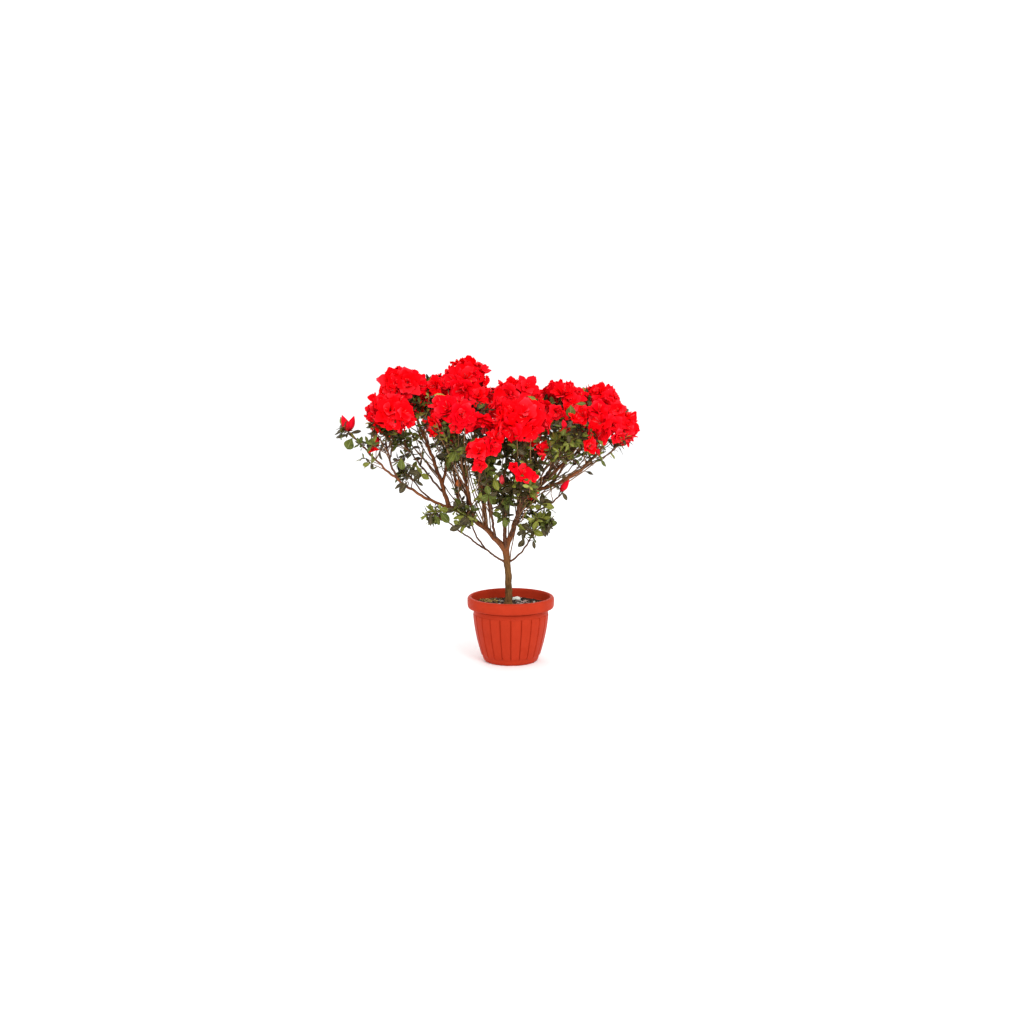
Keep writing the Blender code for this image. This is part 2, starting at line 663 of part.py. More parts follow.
def shoot_directions(mass):
    """Directions spread evenly round the mass, those that face most out of the crown first."""
    facing = (Vector(mass.centre) - CROWN_HEART).normalized() + UP * 0.45
    start = random.Random(mass.name).uniform(0.0, 2.0 * math.pi)
    directions = []
    for i in range(DIRECTIONS):
        height = 1.0 - 2.0 * (i + 0.5) / DIRECTIONS
        level = math.sqrt(1.0 - height * height)
        turn = start + i * GOLDEN_TURN
        directions.append(Vector((level * math.cos(turn), level * math.sin(turn), height)))
    return sorted(directions, key=lambda d: -d.dot(facing))


def surface_distance(mass, direction):
    """From the mass's centre to its surface, along a direction."""
    return 1.0 / math.sqrt(sum((direction[k] / mass.radii[k]) ** 2 for k in range(3)))


def bloom_shoot(mass, direction, root, size, rng, has_room):
    """A bloom whose petals reach the mass's surface, on its twig."""
    reach = surface_distance(mass, direction)
    radius = min(BLOOM_RADIUS * rng.uniform(0.94, 1.06) * size, BLOOM_REACH * reach)
    face = math.sqrt(reach * reach - radius * radius)
    base = Vector(mass.centre) + direction * (face - BLOOM_DEPTH * radius)
    bloom = bloom_shape(base, direction, radius, rng)
    return on_twig(bloom, root, base, direction) if has_room(bloom) else None


def leafy_shoot(mass, direction, root, size, rng, has_room, bud_length=0.0):
    """A whorl of leaves round the end of a twig, alternately raised and spread."""
    reach = surface_distance(mass, direction)
    axis = (direction + UP * 0.3).normalized()
    length = min(LEAF_LENGTH, LEAF_REACH * reach) * size
    tip = Vector(mass.centre) + direction * (TIP_REACH * reach - max(0.80 * length, bud_length))
    turn = rng.uniform(0.0, 2.0 * math.pi)
    place = placer(Vector(), axis, turn)
    leaves = []
    for k in range(WHORL_LEAVES):
        lean = math.radians(rng.uniform(*(RAISED_LEAN if k % 2 else SPREAD_LEAN)))
        heading = place(2.0 * math.pi * (k + 0.5) / WHORL_LEAVES, math.sin(lean), math.cos(lean))
        leaf = (heading, axis, length * rng.uniform(0.84, 1.10))
        leaves.append(leaf if has_room(leaf_room(tip + heading * HUB_RADIUS * 2.0, *leaf)) else None)
    if sum(leaf is not None for leaf in leaves) < WHORL_LEAVES / 2:
        return None
    return on_twig(leafy_end(tip, axis, leaves, bud_length, turn), root, tip - axis * HUB_DROP, axis)


def bud_shoot(mass, direction, root, size, rng, has_room):
    """A pointed bud over a whorl of leaves."""
    return leafy_shoot(mass, direction, root, size, rng, has_room, BUD_LENGTH * size)


SHOOTS = {"bloom": bloom_shoot, "bud": bud_shoot, "spray": leafy_shoot}


def grow_shoot(mass, kind, place, direction, stem, size, has_room):
    """One shoot of a mass, from a point on the mass's stem, or None where it has no room."""
    rng = random.Random(f"{mass.name} {kind} {place}")
    root, _ = point_at(stem, rng.uniform(*ROOT_SHARES[kind]))
    return SHOOTS[kind](mass, direction, root, size, rng, has_room)


def holds(tree, point):
    """Whether a point lies inside a closed shape, read from which way its nearest face looks."""
    nearest, normal, _, _ = tree.find_nearest(point)
    return nearest is not None and (point - nearest).dot(normal) < 0.0


def obstacle(shape):
    """A closed shape a gap larger all round: its search tree, its points and its box."""
    points, faces = shape
    bm = bmesh.new()
    made = [bm.verts.new(p) for p in points]
    for face in faces:
        bm.faces.new([made[i] for i in face])
    bmesh.ops.recalc_face_normals(bm, faces=bm.faces)
    bm.normal_update()
    for vert in bm.verts:
        vert.co += vert.normal * (1.5 * GAP)
    tree = BVHTree.FromBMesh(bm)
    grown = [v.co.copy() for v in bm.verts]
    bm.free()
    low, high = (Vector(f(p[k] for p in grown) for k in range(3)) for f in (min, max))
    return tree, grown, low, high


def clear_of(own, others):
    tree, points, low, high = own
    for other, other_points, other_low, other_high in others:
        if any(low[k] > other_high[k] or high[k] < other_low[k] for k in range(3)):
            continue
        if tree.overlap(other) or holds(other, points[0]) or holds(tree, other_points[0]):
            return False
    return True


def mass_shapes(mass, stem, stem_radius, around):
    """The closed shapes that make one mass: its stem, then blooms, buds and leaves where there is room.

    A twig may meet the stem and other twigs of its mass. All else in the mass keeps clear.
    """
    shapes = [tube(stem, tapered(min(stem_radius, 1.2 * TWIG_RADIUS), TWIG_RADIUS, len(stem)), TWIG_SIDES)]
    taken = [obstacle(shapes[0])]

    def has_room(shape):
        own = obstacle(shape)
        return all(inside_share(mass, p) < MASS_MARGIN for p in own[1]) and clear_of(own, around + taken)

    for kind, wanted in (("bloom", mass.blooms), ("bud", mass.buds), ("spray", mass.sprays)):
        for place, direction in enumerate(shoot_directions(mass)):
            for size in SIZES if wanted else ():
                shape = grow_shoot(mass, kind, place, direction, stem, size, has_room)
                if shape and clear_of(obstacle(shape), around):
                    shapes.append(shape)
                    taken.append(obstacle(shape))
                    wanted -= 1
                    break
    return shapes


def make_mass(mass, stem, stem_radius, around):
    """Joins a mass into one solid, and returns its shapes for the next masses to keep clear of."""
    stem = [point_at(stem, t)[0] for t in np.linspace(0.0, 1.0, STEM_POINTS)]
    shapes = mass_shapes(mass, stem, stem_radius, around)
    colour = (0.80, 0.004, 0.008) if mass.blooms else (0.045, 0.095, 0.020)
    material = principled(mass.name + "_colour", colour, 0.5)
    for solver in ("EXACT", "MANIFOLD"):
        obj = make_object(mass.name, *shapes[0], material)
        boolean(obj, "UNION", [make_object("shoot", *shape) for shape in shapes[1:]], solver)
        if keep_largest_body(obj) > WHOLE_SHARE or solver == "MANIFOLD":
            break
        bpy.data.objects.remove(obj, do_unlink=True)
    return [obstacle(shape) for shape in shapes]


def main():
    clear_scene()
    make_pot()
    make_soil()
    masses = {row[0]: Mass(row[0] + "_mass", *row[1:]) for row in MASS_ROWS}
    limbs, stems = make_limbs(masses)
    around = [obstacle(limb["grown_shape"]) for limb in limbs.values()]
    for name, mass in masses.items():
        around += make_mass(mass, *stems[name], around)


main()
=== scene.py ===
"""Azalea bonsai in its pot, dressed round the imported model. Sizes are in metres, in the model's own frame.

The limbs and each mass of foliage grow by the rule that shapes the solids, written again here, and go on to
finer twigs, leaves and blooms within the same reach. Each kind is gathered into a few joined meshes.
"""

import itertools
import json
import math
import random
from collections import namedtuple

import bpy
import numpy as np
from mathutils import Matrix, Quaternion, Vector, noise
from mathutils.kdtree import KDTree

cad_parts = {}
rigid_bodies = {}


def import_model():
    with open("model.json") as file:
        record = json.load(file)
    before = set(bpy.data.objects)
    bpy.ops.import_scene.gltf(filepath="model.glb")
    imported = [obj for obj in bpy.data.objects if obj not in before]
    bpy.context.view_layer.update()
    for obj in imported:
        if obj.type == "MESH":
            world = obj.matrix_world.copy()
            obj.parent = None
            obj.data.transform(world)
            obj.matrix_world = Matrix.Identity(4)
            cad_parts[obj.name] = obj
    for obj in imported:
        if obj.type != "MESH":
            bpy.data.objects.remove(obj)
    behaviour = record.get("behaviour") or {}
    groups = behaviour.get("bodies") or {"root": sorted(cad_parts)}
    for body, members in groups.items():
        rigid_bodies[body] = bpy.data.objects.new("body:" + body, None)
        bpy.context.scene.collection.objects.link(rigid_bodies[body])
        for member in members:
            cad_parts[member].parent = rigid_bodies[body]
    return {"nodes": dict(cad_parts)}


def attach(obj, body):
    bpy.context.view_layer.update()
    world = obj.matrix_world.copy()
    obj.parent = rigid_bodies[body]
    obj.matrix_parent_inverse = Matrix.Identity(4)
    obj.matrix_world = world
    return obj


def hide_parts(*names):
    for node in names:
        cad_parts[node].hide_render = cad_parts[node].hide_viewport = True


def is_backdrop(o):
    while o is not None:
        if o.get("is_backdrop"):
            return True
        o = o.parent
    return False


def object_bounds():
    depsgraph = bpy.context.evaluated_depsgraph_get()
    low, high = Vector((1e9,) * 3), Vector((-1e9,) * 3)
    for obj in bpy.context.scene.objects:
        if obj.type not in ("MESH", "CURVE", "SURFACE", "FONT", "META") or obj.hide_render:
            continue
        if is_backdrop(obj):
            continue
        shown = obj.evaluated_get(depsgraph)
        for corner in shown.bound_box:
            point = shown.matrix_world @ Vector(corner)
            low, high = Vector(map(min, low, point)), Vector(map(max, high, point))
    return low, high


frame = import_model()
cad_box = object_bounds()

# Sizes that the solids have too
POT_HEIGHT = 0.135
COLLAR_RADIUS = 0.090
COLLAR_HEIGHT = 0.023
BODY_TOP_RADIUS = 0.0774
BODY_BASE_RADIUS = 0.0590
FOOT_RADIUS = 0.0530
BASE_BAND = 0.0110
BODY_CURVE = 1.8
POT_WALL = 0.0025
POT_FLOOR = 0.0030
COLLAR_MOUTH_RADIUS = 0.0810
COLLAR_INSET = 0.0034
COLLAR_ROUND = 0.0046
PANEL_LEDGE = 0.0015
FLUTES = 22
FLUTE_DEPTH = 0.0009
GROOVE_HALF_WIDTH = 0.0011

SOIL_LEVEL = 0.119
SOIL_MOUND = 0.0030
FORK_HEIGHT = 0.238
TRUNK_LEAN = (-0.0065, 0.0)
TRUNK_FOOT = (-0.0050, 0.0)
TRUNK_BEND = (0.0012, 0.0010, 0.0)
TRUNK_RADIUS = 0.0074
TRUNK_WAIST_RADIUS = 0.0066
TRUNK_FORK_RADIUS = 0.0076
FLARE_RADIUS = 0.0105
FLARE_HEIGHT = 0.014
WAIST_SHARE = 0.60
SWELL_SHARE = 0.70

BLOOM_RADIUS = 0.0340
BLOOM_DEPTH = 0.78
BUD_LENGTH = 0.026
LEAF_LENGTH = 0.0320
HUB_HEIGHT = 0.0016
GAP = 0.0003
TRUNK_POINTS = 13
BOUGH_POINTS = 5
COURSE_POINTS = 41
STEM_POINTS = 4
MASS_ENTRY = 0.97

# Growth habit that the solids follow
DIRECTIONS = 36
SIZES = (1.0, 0.9, 0.8)
ROOT_SHARES = {"bloom": (0.62, 0.97), "bud": (0.40, 0.90), "spray": (0.25, 0.95)}
BLOOM_REACH = 0.74
LEAF_REACH = 0.66
TIP_REACH = 0.98
RAISED_LEAN = (34.0, 52.0)
SPREAD_LEAN = (62.0, 84.0)
WHORL_LEAVES = 5
GOLDEN_TURN = math.pi * (3.0 - math.sqrt(5.0))
CROWN_HEART = Vector((-0.03, 0.0, 0.40))
UP = Vector((0.0, 0.0, 1.0))

# A mass is an egg-shaped space: its name, its centre, its half widths, and how many of its shoots end in a
# bloom, in a bud and in a whorl of leaves.
Mass = namedtuple("Mass", "name centre radii blooms buds sprays")

MASS_ROWS = (
    ("left_crown", (-0.220, 0.020, 0.558), (0.056, 0.058, 0.052), 6, 0, 2),
    ("left_front", (-0.246, -0.075, 0.517), (0.050, 0.052, 0.048), 6, 1, 1),
    ("left_shoulder", (-0.152, 0.070, 0.540), (0.052, 0.054, 0.050), 6, 0, 1),
    ("tall_crown", (-0.090, 0.005, 0.569), (0.054, 0.056, 0.058), 7, 0, 2),
    ("front_left", (-0.115, -0.105, 0.510), (0.052, 0.052, 0.048), 6, 0, 2),
    ("centre_crown", (0.008, 0.025, 0.536), (0.060, 0.056, 0.050), 7, 0, 2),
    ("centre_front", (0.018, -0.118, 0.505), (0.062, 0.056, 0.056), 7, 0, 1),
    ("centre_low", (-0.052, -0.130, 0.436), (0.044, 0.046, 0.046), 4, 0, 1),
    ("front_low", (0.032, -0.128, 0.402), (0.040, 0.040, 0.038), 3, 0, 1),
    ("right_mid", (0.102, -0.022, 0.534), (0.052, 0.056, 0.052), 6, 0, 2),
    ("front_right", (0.110, -0.122, 0.482), (0.050, 0.048, 0.048), 4, 1, 2),
    ("right_crown", (0.180, 0.030, 0.524), (0.054, 0.056, 0.050), 6, 0, 1),
    ("right_end", (0.208, -0.050, 0.490), (0.051, 0.054, 0.050), 6, 0, 1),
    ("right_low", (0.128, -0.035, 0.437), (0.056, 0.050, 0.038), 0, 3, 4),
    ("back_left", (-0.145, 0.152, 0.498), (0.054, 0.052, 0.050), 6, 0, 2),
    ("back_mid", (-0.050, 0.132, 0.532), (0.054, 0.054, 0.050), 6, 0, 2),
    ("back_centre", (0.052, 0.148, 0.512), (0.054, 0.052, 0.050), 6, 0, 2),
    ("back_right", (0.142, 0.130, 0.485), (0.052, 0.052, 0.048), 6, 0, 2),
    ("left_tip", (-0.322, -0.040, 0.478), (0.040, 0.034, 0.036), 0, 2, 3),
    ("left_under", (-0.214, -0.015, 0.450), (0.052, 0.044, 0.036), 0, 1, 6),
    ("left_spray", (-0.206, 0.000, 0.386), (0.042, 0.036, 0.034), 0, 0, 6),
    ("low_left", (-0.146, -0.020, 0.306), (0.040, 0.034, 0.032), 0, 0, 5),
    ("low_inner", (-0.087, -0.050, 0.313), (0.032, 0.032, 0.030), 0, 0, 4),
    ("inner_left", (-0.104, 0.010, 0.424), (0.052, 0.054, 0.054), 0, 1, 6),
    ("inner_centre", (-0.018, -0.045, 0.354), (0.050, 0.044, 0.050), 0, 1, 7),
    ("low_right", (0.058, -0.020, 0.302), (0.040, 0.038, 0.048), 0, 0, 6),
    ("right_bud", (0.112, -0.040, 0.366), (0.030, 0.028, 0.032), 0, 1, 3),
)
MASSES = {name: Mass(name + "_mass", *rest) for name, *rest in MASS_ROWS}
CROWN_SPACE = Mass("crown", (-0.045, 0.0, 0.435), (0.285, 0.185, 0.165), 0, 0, 0)

# A bough leaves its parent at a share of the parent's length and runs to a point or into a mass: its name,
# its parent, that share, its end, how far its middle stands off the straight line, its two radii.
Bough = namedtuple("Bough", "name parent share end bow radius tip_radius")

BOUGH_ROWS = (
    ("left", "trunk", 0.94, (-0.126, -0.010, 0.322), (0.0, 0.0, 0.014), 0.0060, 0.0046),
    ("right", "trunk", 0.95, (0.033, -0.010, 0.357), (0.002, 0.0, 0.004), 0.0058, 0.0044),
    ("centre", "trunk", 0.97, "centre_crown", (-0.010, 0.018, 0.0), 0.0042, 0.0024),
    ("left_upper", "left", 1.00, "left_crown", (0.004, 0.0, 0.006), 0.0044, 0.0026),
    ("left_long", "left", 0.90, "left_tip", (0.0, 0.0, -0.026), 0.0034, 0.0017),
    ("left_riser", "left_upper", 0.22, "left_shoulder", (0.016, 0.0, 0.0), 0.0032, 0.0021),
    ("left_under", "left_upper", 0.12, "left_under", (-0.004, -0.006, 0.004), 0.0023, 0.0017),
    ("left_front", "left_long", 0.62, "left_front", (-0.010, -0.006, 0.0), 0.0023, 0.0018),
    ("left_spray", "left_long", 0.24, "left_spray", (-0.004, 0.0, 0.0), 0.0020, 0.0016),
    ("low_left", "trunk", 0.70, "low_left", (0.0, 0.0, -0.002), 0.0022, 0.0016),
    ("low_inner", "low_left", 0.38, "low_inner", (-0.004, -0.004, 0.0), 0.0019, 0.0016),
    ("tall", "left", 0.34, "tall_crown", (0.004, 0.006, 0.0), 0.0042, 0.0024),
    ("inner_left", "left", 0.66, "inner_left", (0.004, 0.0, 0.0), 0.0024, 0.0018),
    ("front_left", "left", 0.55, "front_left", (0.0, -0.016, 0.0), 0.0030, 0.0020),
    ("centre_low", "left", 0.18, "centre_low", (0.0, -0.022, -0.004), 0.0028, 0.0019),
    ("inner_centre", "trunk", 0.90, "inner_centre", (0.0, -0.006, 0.0), 0.0026, 0.0018),
    ("front_low", "right", 0.20, "front_low", (0.004, -0.018, -0.004), 0.0026, 0.0018),
    ("front", "right", 0.45, "centre_front", (0.008, -0.016, -0.006), 0.0036, 0.0022),
    ("right_outer", "right", 1.00, "right_end", (0.010, -0.008, -0.030), 0.0040, 0.0022),
    ("right_crown", "right", 0.88, "right_crown", (0.006, 0.014, -0.022), 0.0036, 0.0022),
    ("right_mid", "right", 0.72, "right_mid", (-0.008, 0.004, 0.0), 0.0032, 0.0021),
    ("front_right", "right_outer", 0.14, "front_right", (0.0, -0.018, -0.006), 0.0027, 0.0019),
    ("right_low", "right_outer", 0.30, "right_low", (0.0, 0.002, 0.004), 0.0023, 0.0017),
    ("right_bud", "right", 0.56, "right_bud", (0.006, -0.004, -0.012), 0.0020, 0.0016),
    ("low_right", "trunk", 0.70, "low_right", (0.006, 0.0, -0.012), 0.0022, 0.0016),
    ("back_left", "left", 0.80, "back_left", (0.0, 0.020, 0.0), 0.0032, 0.0020),
    ("back_mid", "tall", 0.16, "back_mid", (0.0, 0.022, 0.0), 0.0030, 0.0020),
    ("back_centre", "centre", 0.22, "back_centre", (0.004, 0.020, 0.0), 0.0030, 0.0020),
    ("back_right", "right", 0.64, "back_right", (0.004, 0.020, -0.006), 0.0030, 0.0020),
)
BOUGHS = [Bough(*row) for row in BOUGH_ROWS]

# Sizes of what only this script makes. A grid has so many rows and columns of points.
PANEL_TOP = 0.0988
TOP_LEDGE = 0.0014
GROOVE_SLIMNESS = 0.75
GROOVE_SHARE = 0.75
BEAD_SHARE = 0.42
SHADOW_GROOVE = 0.0014
SOIL_RADIUS = COLLAR_MOUTH_RADIUS - 0.0004
SOIL_SIDES = 128
SOIL_RINGS = 56
HEAP_PLACE = (-0.056, 0.032)
STONE_PLACE = (0.0117, 0.046)
STONE_GRID = (14, 20)
CUBE_CORNERS = np.array([(x, y, z) for z in (-1, 1) for x, y in ((-1, -1), (1, -1), (1, 1), (-1, 1))], float)
CUBE_FACES = np.array(((0, 3, 2, 1), (4, 5, 6, 7), (0, 1, 5, 4), (1, 2, 6, 5), (2, 3, 7, 6), (3, 0, 4, 7)))
TRUNK_SIDES = 64
TRUNK_STEP = 0.0009
TRUNK_RELIEF = 0.00055
TRUNK_SWAY = 0.0016
BOUGH_SIDES = 14
BOUGH_STEP = 0.0019
BOUGH_RELIEF = 0.00028
BOUGH_WANDER = 0.0009
THIN_BOUGH = 0.0029
STEM_END_RADIUS = 0.0012
TWIG_SIDES = 6
TWIG_STATIONS = 8
TWIG_RADIUS = 0.00115
TWIG_TIP_RADIUS = 0.00070
LIFE_LEAF_LENGTH = 0.0260
LIFE_LEAF_WIDTH = 0.0122
PETAL_BROAD = 0.64
BUD_GRID = (12, 16)

# The trunk's clearest knots: how far along, at which angle, how wide and how high
TRUNK_KNOTS = [(0.047, 1.1, 0.0042, 0.0011), (0.052, 3.4, 0.0040, 0.0010), (0.088, 5.0, 0.0036, 0.0009)]

# Tones of bark: dark, light and reddish. The trunk reddens between two heights.
TRUNK_TONES = ((0.050, 0.022, 0.007), (0.250, 0.122, 0.038), (0.295, 0.096, 0.033))
BOUGH_TONES = ((0.046, 0.017, 0.011), (0.390, 0.155, 0.054), (0.330, 0.092, 0.030))
THIN_BOUGH_TONES = ((0.046, 0.021, 0.013), (0.200, 0.104, 0.052), (0.175, 0.056, 0.031))
TWIG_TONES = (
    ("twig_bark", (0.034, 0.015, 0.012), (0.170, 0.080, 0.038), (0.140, 0.046, 0.024)),
    ("young_twig_bark", (0.170, 0.085, 0.038), (0.460, 0.270, 0.130), (0.260, 0.105, 0.050)),
    ("green_twig_bark", (0.150, 0.140, 0.030), (0.360, 0.300, 0.080), (0.300, 0.180, 0.040)),
)
TRUNK_REDDENING = (0.196, 0.238)

# Tones of leaves: dark, light and vein, then roughness and shine
LEAF_TONES = {
    # The dark tint is a near-black brown: partly the leaves' own tone, partly painted shade for leaves deep
    # in the foliage.
    "dark": ((0.014, 0.009, 0.002), (0.080, 0.057, 0.016), (0.170, 0.148, 0.070), 0.38, 0.24),
    "green": ((0.046, 0.062, 0.008), (0.138, 0.162, 0.024), (0.255, 0.280, 0.090), 0.40),
    "olive": ((0.118, 0.128, 0.013), (0.236, 0.248, 0.034), (0.355, 0.365, 0.120), 0.44),
    "young": ((0.210, 0.230, 0.028), (0.380, 0.395, 0.085), (0.500, 0.510, 0.220), 0.45),
}

# Tones of petals: throat (painted shade, also the veins' tone), body and rim (painted highlight).
# One petal in so many is of a lighter, pinker red: a painted highlight.
PETAL_TONES = {
    "scarlet": ((0.90, 0.0008, 0.0040), (1.00, 0.0010, 0.0050), (1.0, 0.005, 0.013)),
    "crimson": ((0.84, 0.0008, 0.0060), (0.96, 0.0012, 0.0090), (1.0, 0.006, 0.020)),
    "bright": ((0.92, 0.0014, 0.0070), (1.00, 0.0048, 0.0140), (1.0, 0.013, 0.030)),
}
PAINTED_HIGHLIGHT_TONES = ((0.96, 0.003, 0.010), (1.00, 0.012, 0.022), (1.0, 0.038, 0.064))
PAINTED_HIGHLIGHT_SHARE = 0.20
PAINTED_HIGHLIGHT_SLOT = 3
SCALE_TONES = ((0.060, 0.090, 0.020), (0.120, 0.160, 0.040), (0.20, 0.24, 0.09))
# Buds take the petals' finish: painted shade at the base and a painted highlight towards the tip.
BUD_TONES = (
    ("bud_red", (0.36, 0.003, 0.010), (0.68, 0.004, 0.016), (0.90, 0.016, 0.042)),
    ("bud_pink", (0.55, 0.020, 0.030), (0.90, 0.070, 0.080), (0.95, 0.16, 0.16)),
    ("withered", (0.22, 0.050, 0.015), (0.48, 0.120, 0.035), (0.60, 0.22, 0.08)),
)

# How often each kind of leaf is dealt to a spray, by the kind of mass. A lance leaf is a narrow dark one.
# Some leaves of a spray are of another tint than the rest.
KINDS = (*LEAF_TONES, "lance")
LEAF_MIX = {
    # Half the crowns' leaves take the dark tint, which is partly painted shade.
    "crown": (0.50, 0.25, 0.07, 0.03, 0.15),
    "left": (0.25, 0.20, 0.04, 0.01, 0.50),
    "low": (0.14, 0.30, 0.30, 0.12, 0.14),
    "inner": (0.26, 0.34, 0.24, 0.08, 0.08),
}
MASS_MIX = {
    **dict.fromkeys(("left_tip", "left_under", "left_spray", "right_bud"), "left"),
    **dict.fromkeys(("low_left", "low_inner", "low_right"), "low"),
    **dict.fromkeys(("inner_left", "inner_centre", "right_low"), "inner"),
}
LANCE_BREADTH = 0.56
STRAY_SHARE = 0.34
STRAY_TINT = {"dark": "olive", "green": "dark", "olive": "dark", "young": "green"}
REDS = tuple(PETAL_TONES)
RED_MIX = (0.40, 0.28, 0.32)

# How many smaller blooms fill a mass, how many sprays fill a leafy mass and how many a flowering one, where
# it isn't the usual number
USUAL_FILLS = {"blooms": 13, "leafy": 3, "flowering": 8}
BLOOM_FILLS = dict(front_low=0, centre_low=1, front_right=3)
LEAFY_FILLS = dict(
    low_right=6, inner_centre=9, low_left=4, left_spray=5, left_under=5, inner_left=5, right_bud=0,
    right_low=1,
)
FLOWERING_FILLS = dict(
    front_right=3, right_mid=5, right_end=4, right_crown=5, centre_front=13, front_low=12, centre_low=10
)
FILL_DIRECTIONS = 110
SPRAY_DIRECTIONS = 60

# How far flowers nod off their shoots' axes: those that the solids have, those that the photograph shows,
# those that fill gaps and those on bridges
SOLID_NOD, FRONT_NOD, FILL_NOD, BRIDGE_NOD = 0.35, 0.8, 0.6, 0.5

# How close the faces of flowers may lie, as a share of the sum of their radii. A leafy shoot of a flowering
# mass and a flower that stays closed take a radius of their own.
SOLID_ROOM, FILL_ROOM = 0.30, 0.50
SHOOT_ROOM, CLOSED_ROOM = (0.012, 0.70), (0.010, 0.80)

# How far the leaves of a whorl lean off its axis, in degrees: the least for those that are raised and the
# most for those that spread, each within a span, round a twig's end, a flower's foot and a spray's heart, on
# a riser and at the foot of a single shoot
LEAN_SPAN = 16.0
END_LEANS, FOOT_LEANS, HEART_LEANS = (38.0, 78.0), (86.0, 120.0), (18.0, 44.0)
RISER_LEANS, SINGLE_LEANS = (50.0, 92.0), (66.0, 100.0)

# Bridges join flowering masses no farther apart than a span. Their flowers stand near the surface of the two
# masses, out of the crown's heart and not low down.
BRIDGE_SPAN = 0.180
BRIDGE_SPRAYS = 5
BRIDGE_TURNS = 10
BRIDGE_DEPTH = 0.84
BRIDGE_HEART = 0.66
BRIDGE_LOWEST = 0.45

# Long twigs into each flowering mass, leafy and bare, and where they end as shares of its half widths
RISERS = 6
BARE_TWIGS = 3
RISER_ENDS = ((-0.75, 0.75), (-0.75, 0.75), (-0.65, 0.0))

# Sprays on side twigs along a bough: from which share of it to which, and how many
BOUGH_SPRAYS = dict(
    left=(0.70, 0.95, 2), right=(0.55, 0.95, 2), left_upper=(0.30, 0.92, 9),
    left_riser=(0.30, 0.92, 7), left_under=(0.35, 0.92, 5), left_front=(0.34, 0.92, 9),
    left_long=(0.60, 0.97, 8), low_left=(0.78, 0.96, 1), low_inner=(0.62, 0.92, 2),
    tall=(0.32, 0.92, 9), inner_left=(0.42, 0.92, 5), front_left=(0.38, 0.92, 7),
    centre_low=(0.34, 0.92, 6), inner_centre=(0.42, 0.92, 4), centre=(0.30, 0.92, 9),
    front_low=(0.42, 0.90, 5), front=(0.32, 0.95, 11), right_mid=(0.40, 0.92, 4),
    right_crown=(0.50, 0.92, 4), right_outer=(0.55, 0.92, 4), front_right=(0.50, 0.92, 3),
    right_low=(0.55, 0.92, 2), right_bud=(0.62, 0.92, 1), low_right=(0.50, 0.95, 5),
    back_left=(0.36, 0.92, 7), back_mid=(0.36, 0.92, 7), back_centre=(0.36, 0.92, 7),
    back_right=(0.36, 0.92, 7),
)

# The flowers that the photograph shows most clearly, by the mass that carries them: the middle of each face
# and how wide it is across half its face
FRONT_BLOOMS = {
    "left_crown": (
        (-0.235, -0.025, 0.580, 0.031), (-0.205, -0.030, 0.580, 0.031), (-0.225, 0.000, 0.595, 0.022),
        (-0.180, -0.010, 0.570, 0.023),
    ),
    "left_front": (
        (-0.235, -0.115, 0.530, 0.034), (-0.205, -0.120, 0.525, 0.024), (-0.230, -0.115, 0.505, 0.023),
        (-0.275, -0.090, 0.515, 0.011), (-0.255, -0.085, 0.545, 0.021), (-0.195, -0.100, 0.505, 0.017),
    ),
    "left_shoulder": (
        (-0.160, 0.015, 0.565, 0.025), (-0.180, 0.005, 0.540, 0.019), (-0.155, -0.025, 0.570, 0.021),
    ),
    "tall_crown": (
        (-0.085, -0.030, 0.590, 0.040), (-0.070, -0.025, 0.598, 0.013), (-0.120, -0.030, 0.580, 0.028),
        (-0.100, -0.060, 0.560, 0.031), (-0.065, -0.055, 0.555, 0.024), (-0.135, -0.020, 0.580, 0.017),
    ),
    "front_left": (
        (-0.135, -0.110, 0.545, 0.027), (-0.095, -0.145, 0.520, 0.030), (-0.105, -0.140, 0.495, 0.017),
        (-0.080, -0.120, 0.495, 0.014),
    ),
    "centre_crown": (
        (-0.010, -0.020, 0.550, 0.032), (0.035, -0.010, 0.570, 0.025), (0.000, 0.010, 0.570, 0.021),
    ),
    "centre_front": (
        (-0.025, -0.140, 0.515, 0.035), (0.025, -0.165, 0.515, 0.044), (-0.035, -0.090, 0.540, 0.022),
        (0.045, -0.100, 0.540, 0.024), (0.000, -0.150, 0.535, 0.025),
    ),
    "right_mid": (
        (0.105, -0.050, 0.565, 0.028), (0.090, -0.090, 0.520, 0.020), (0.070, -0.060, 0.528, 0.019),
        (0.120, -0.055, 0.545, 0.023),
    ),
    "front_right": (
        (0.107, -0.115, 0.492, 0.013), (0.130, -0.115, 0.513, 0.018), (0.155, -0.115, 0.463, 0.014),
    ),
    "right_crown": (
        (0.175, 0.000, 0.560, 0.025), (0.210, 0.000, 0.550, 0.024), (0.140, -0.020, 0.545, 0.022),
    ),
    "right_end": (
        (0.175, -0.070, 0.530, 0.027), (0.170, -0.085, 0.505, 0.029), (0.210, -0.080, 0.525, 0.021),
        (0.230, -0.080, 0.490, 0.022), (0.215, -0.090, 0.470, 0.020), (0.140, -0.060, 0.515, 0.022),
        (0.200, -0.090, 0.495, 0.023),
    ),
    "centre_low": (
        (-0.062, -0.165, 0.457, 0.024), (-0.030, -0.160, 0.460, 0.022), (-0.026, -0.150, 0.482, 0.020),
        (-0.062, -0.160, 0.425, 0.017),
    ),
    "front_low": (
        (0.025, -0.155, 0.410, 0.023), (0.005, -0.150, 0.420, 0.013), (0.045, -0.150, 0.400, 0.013),
    ),
}

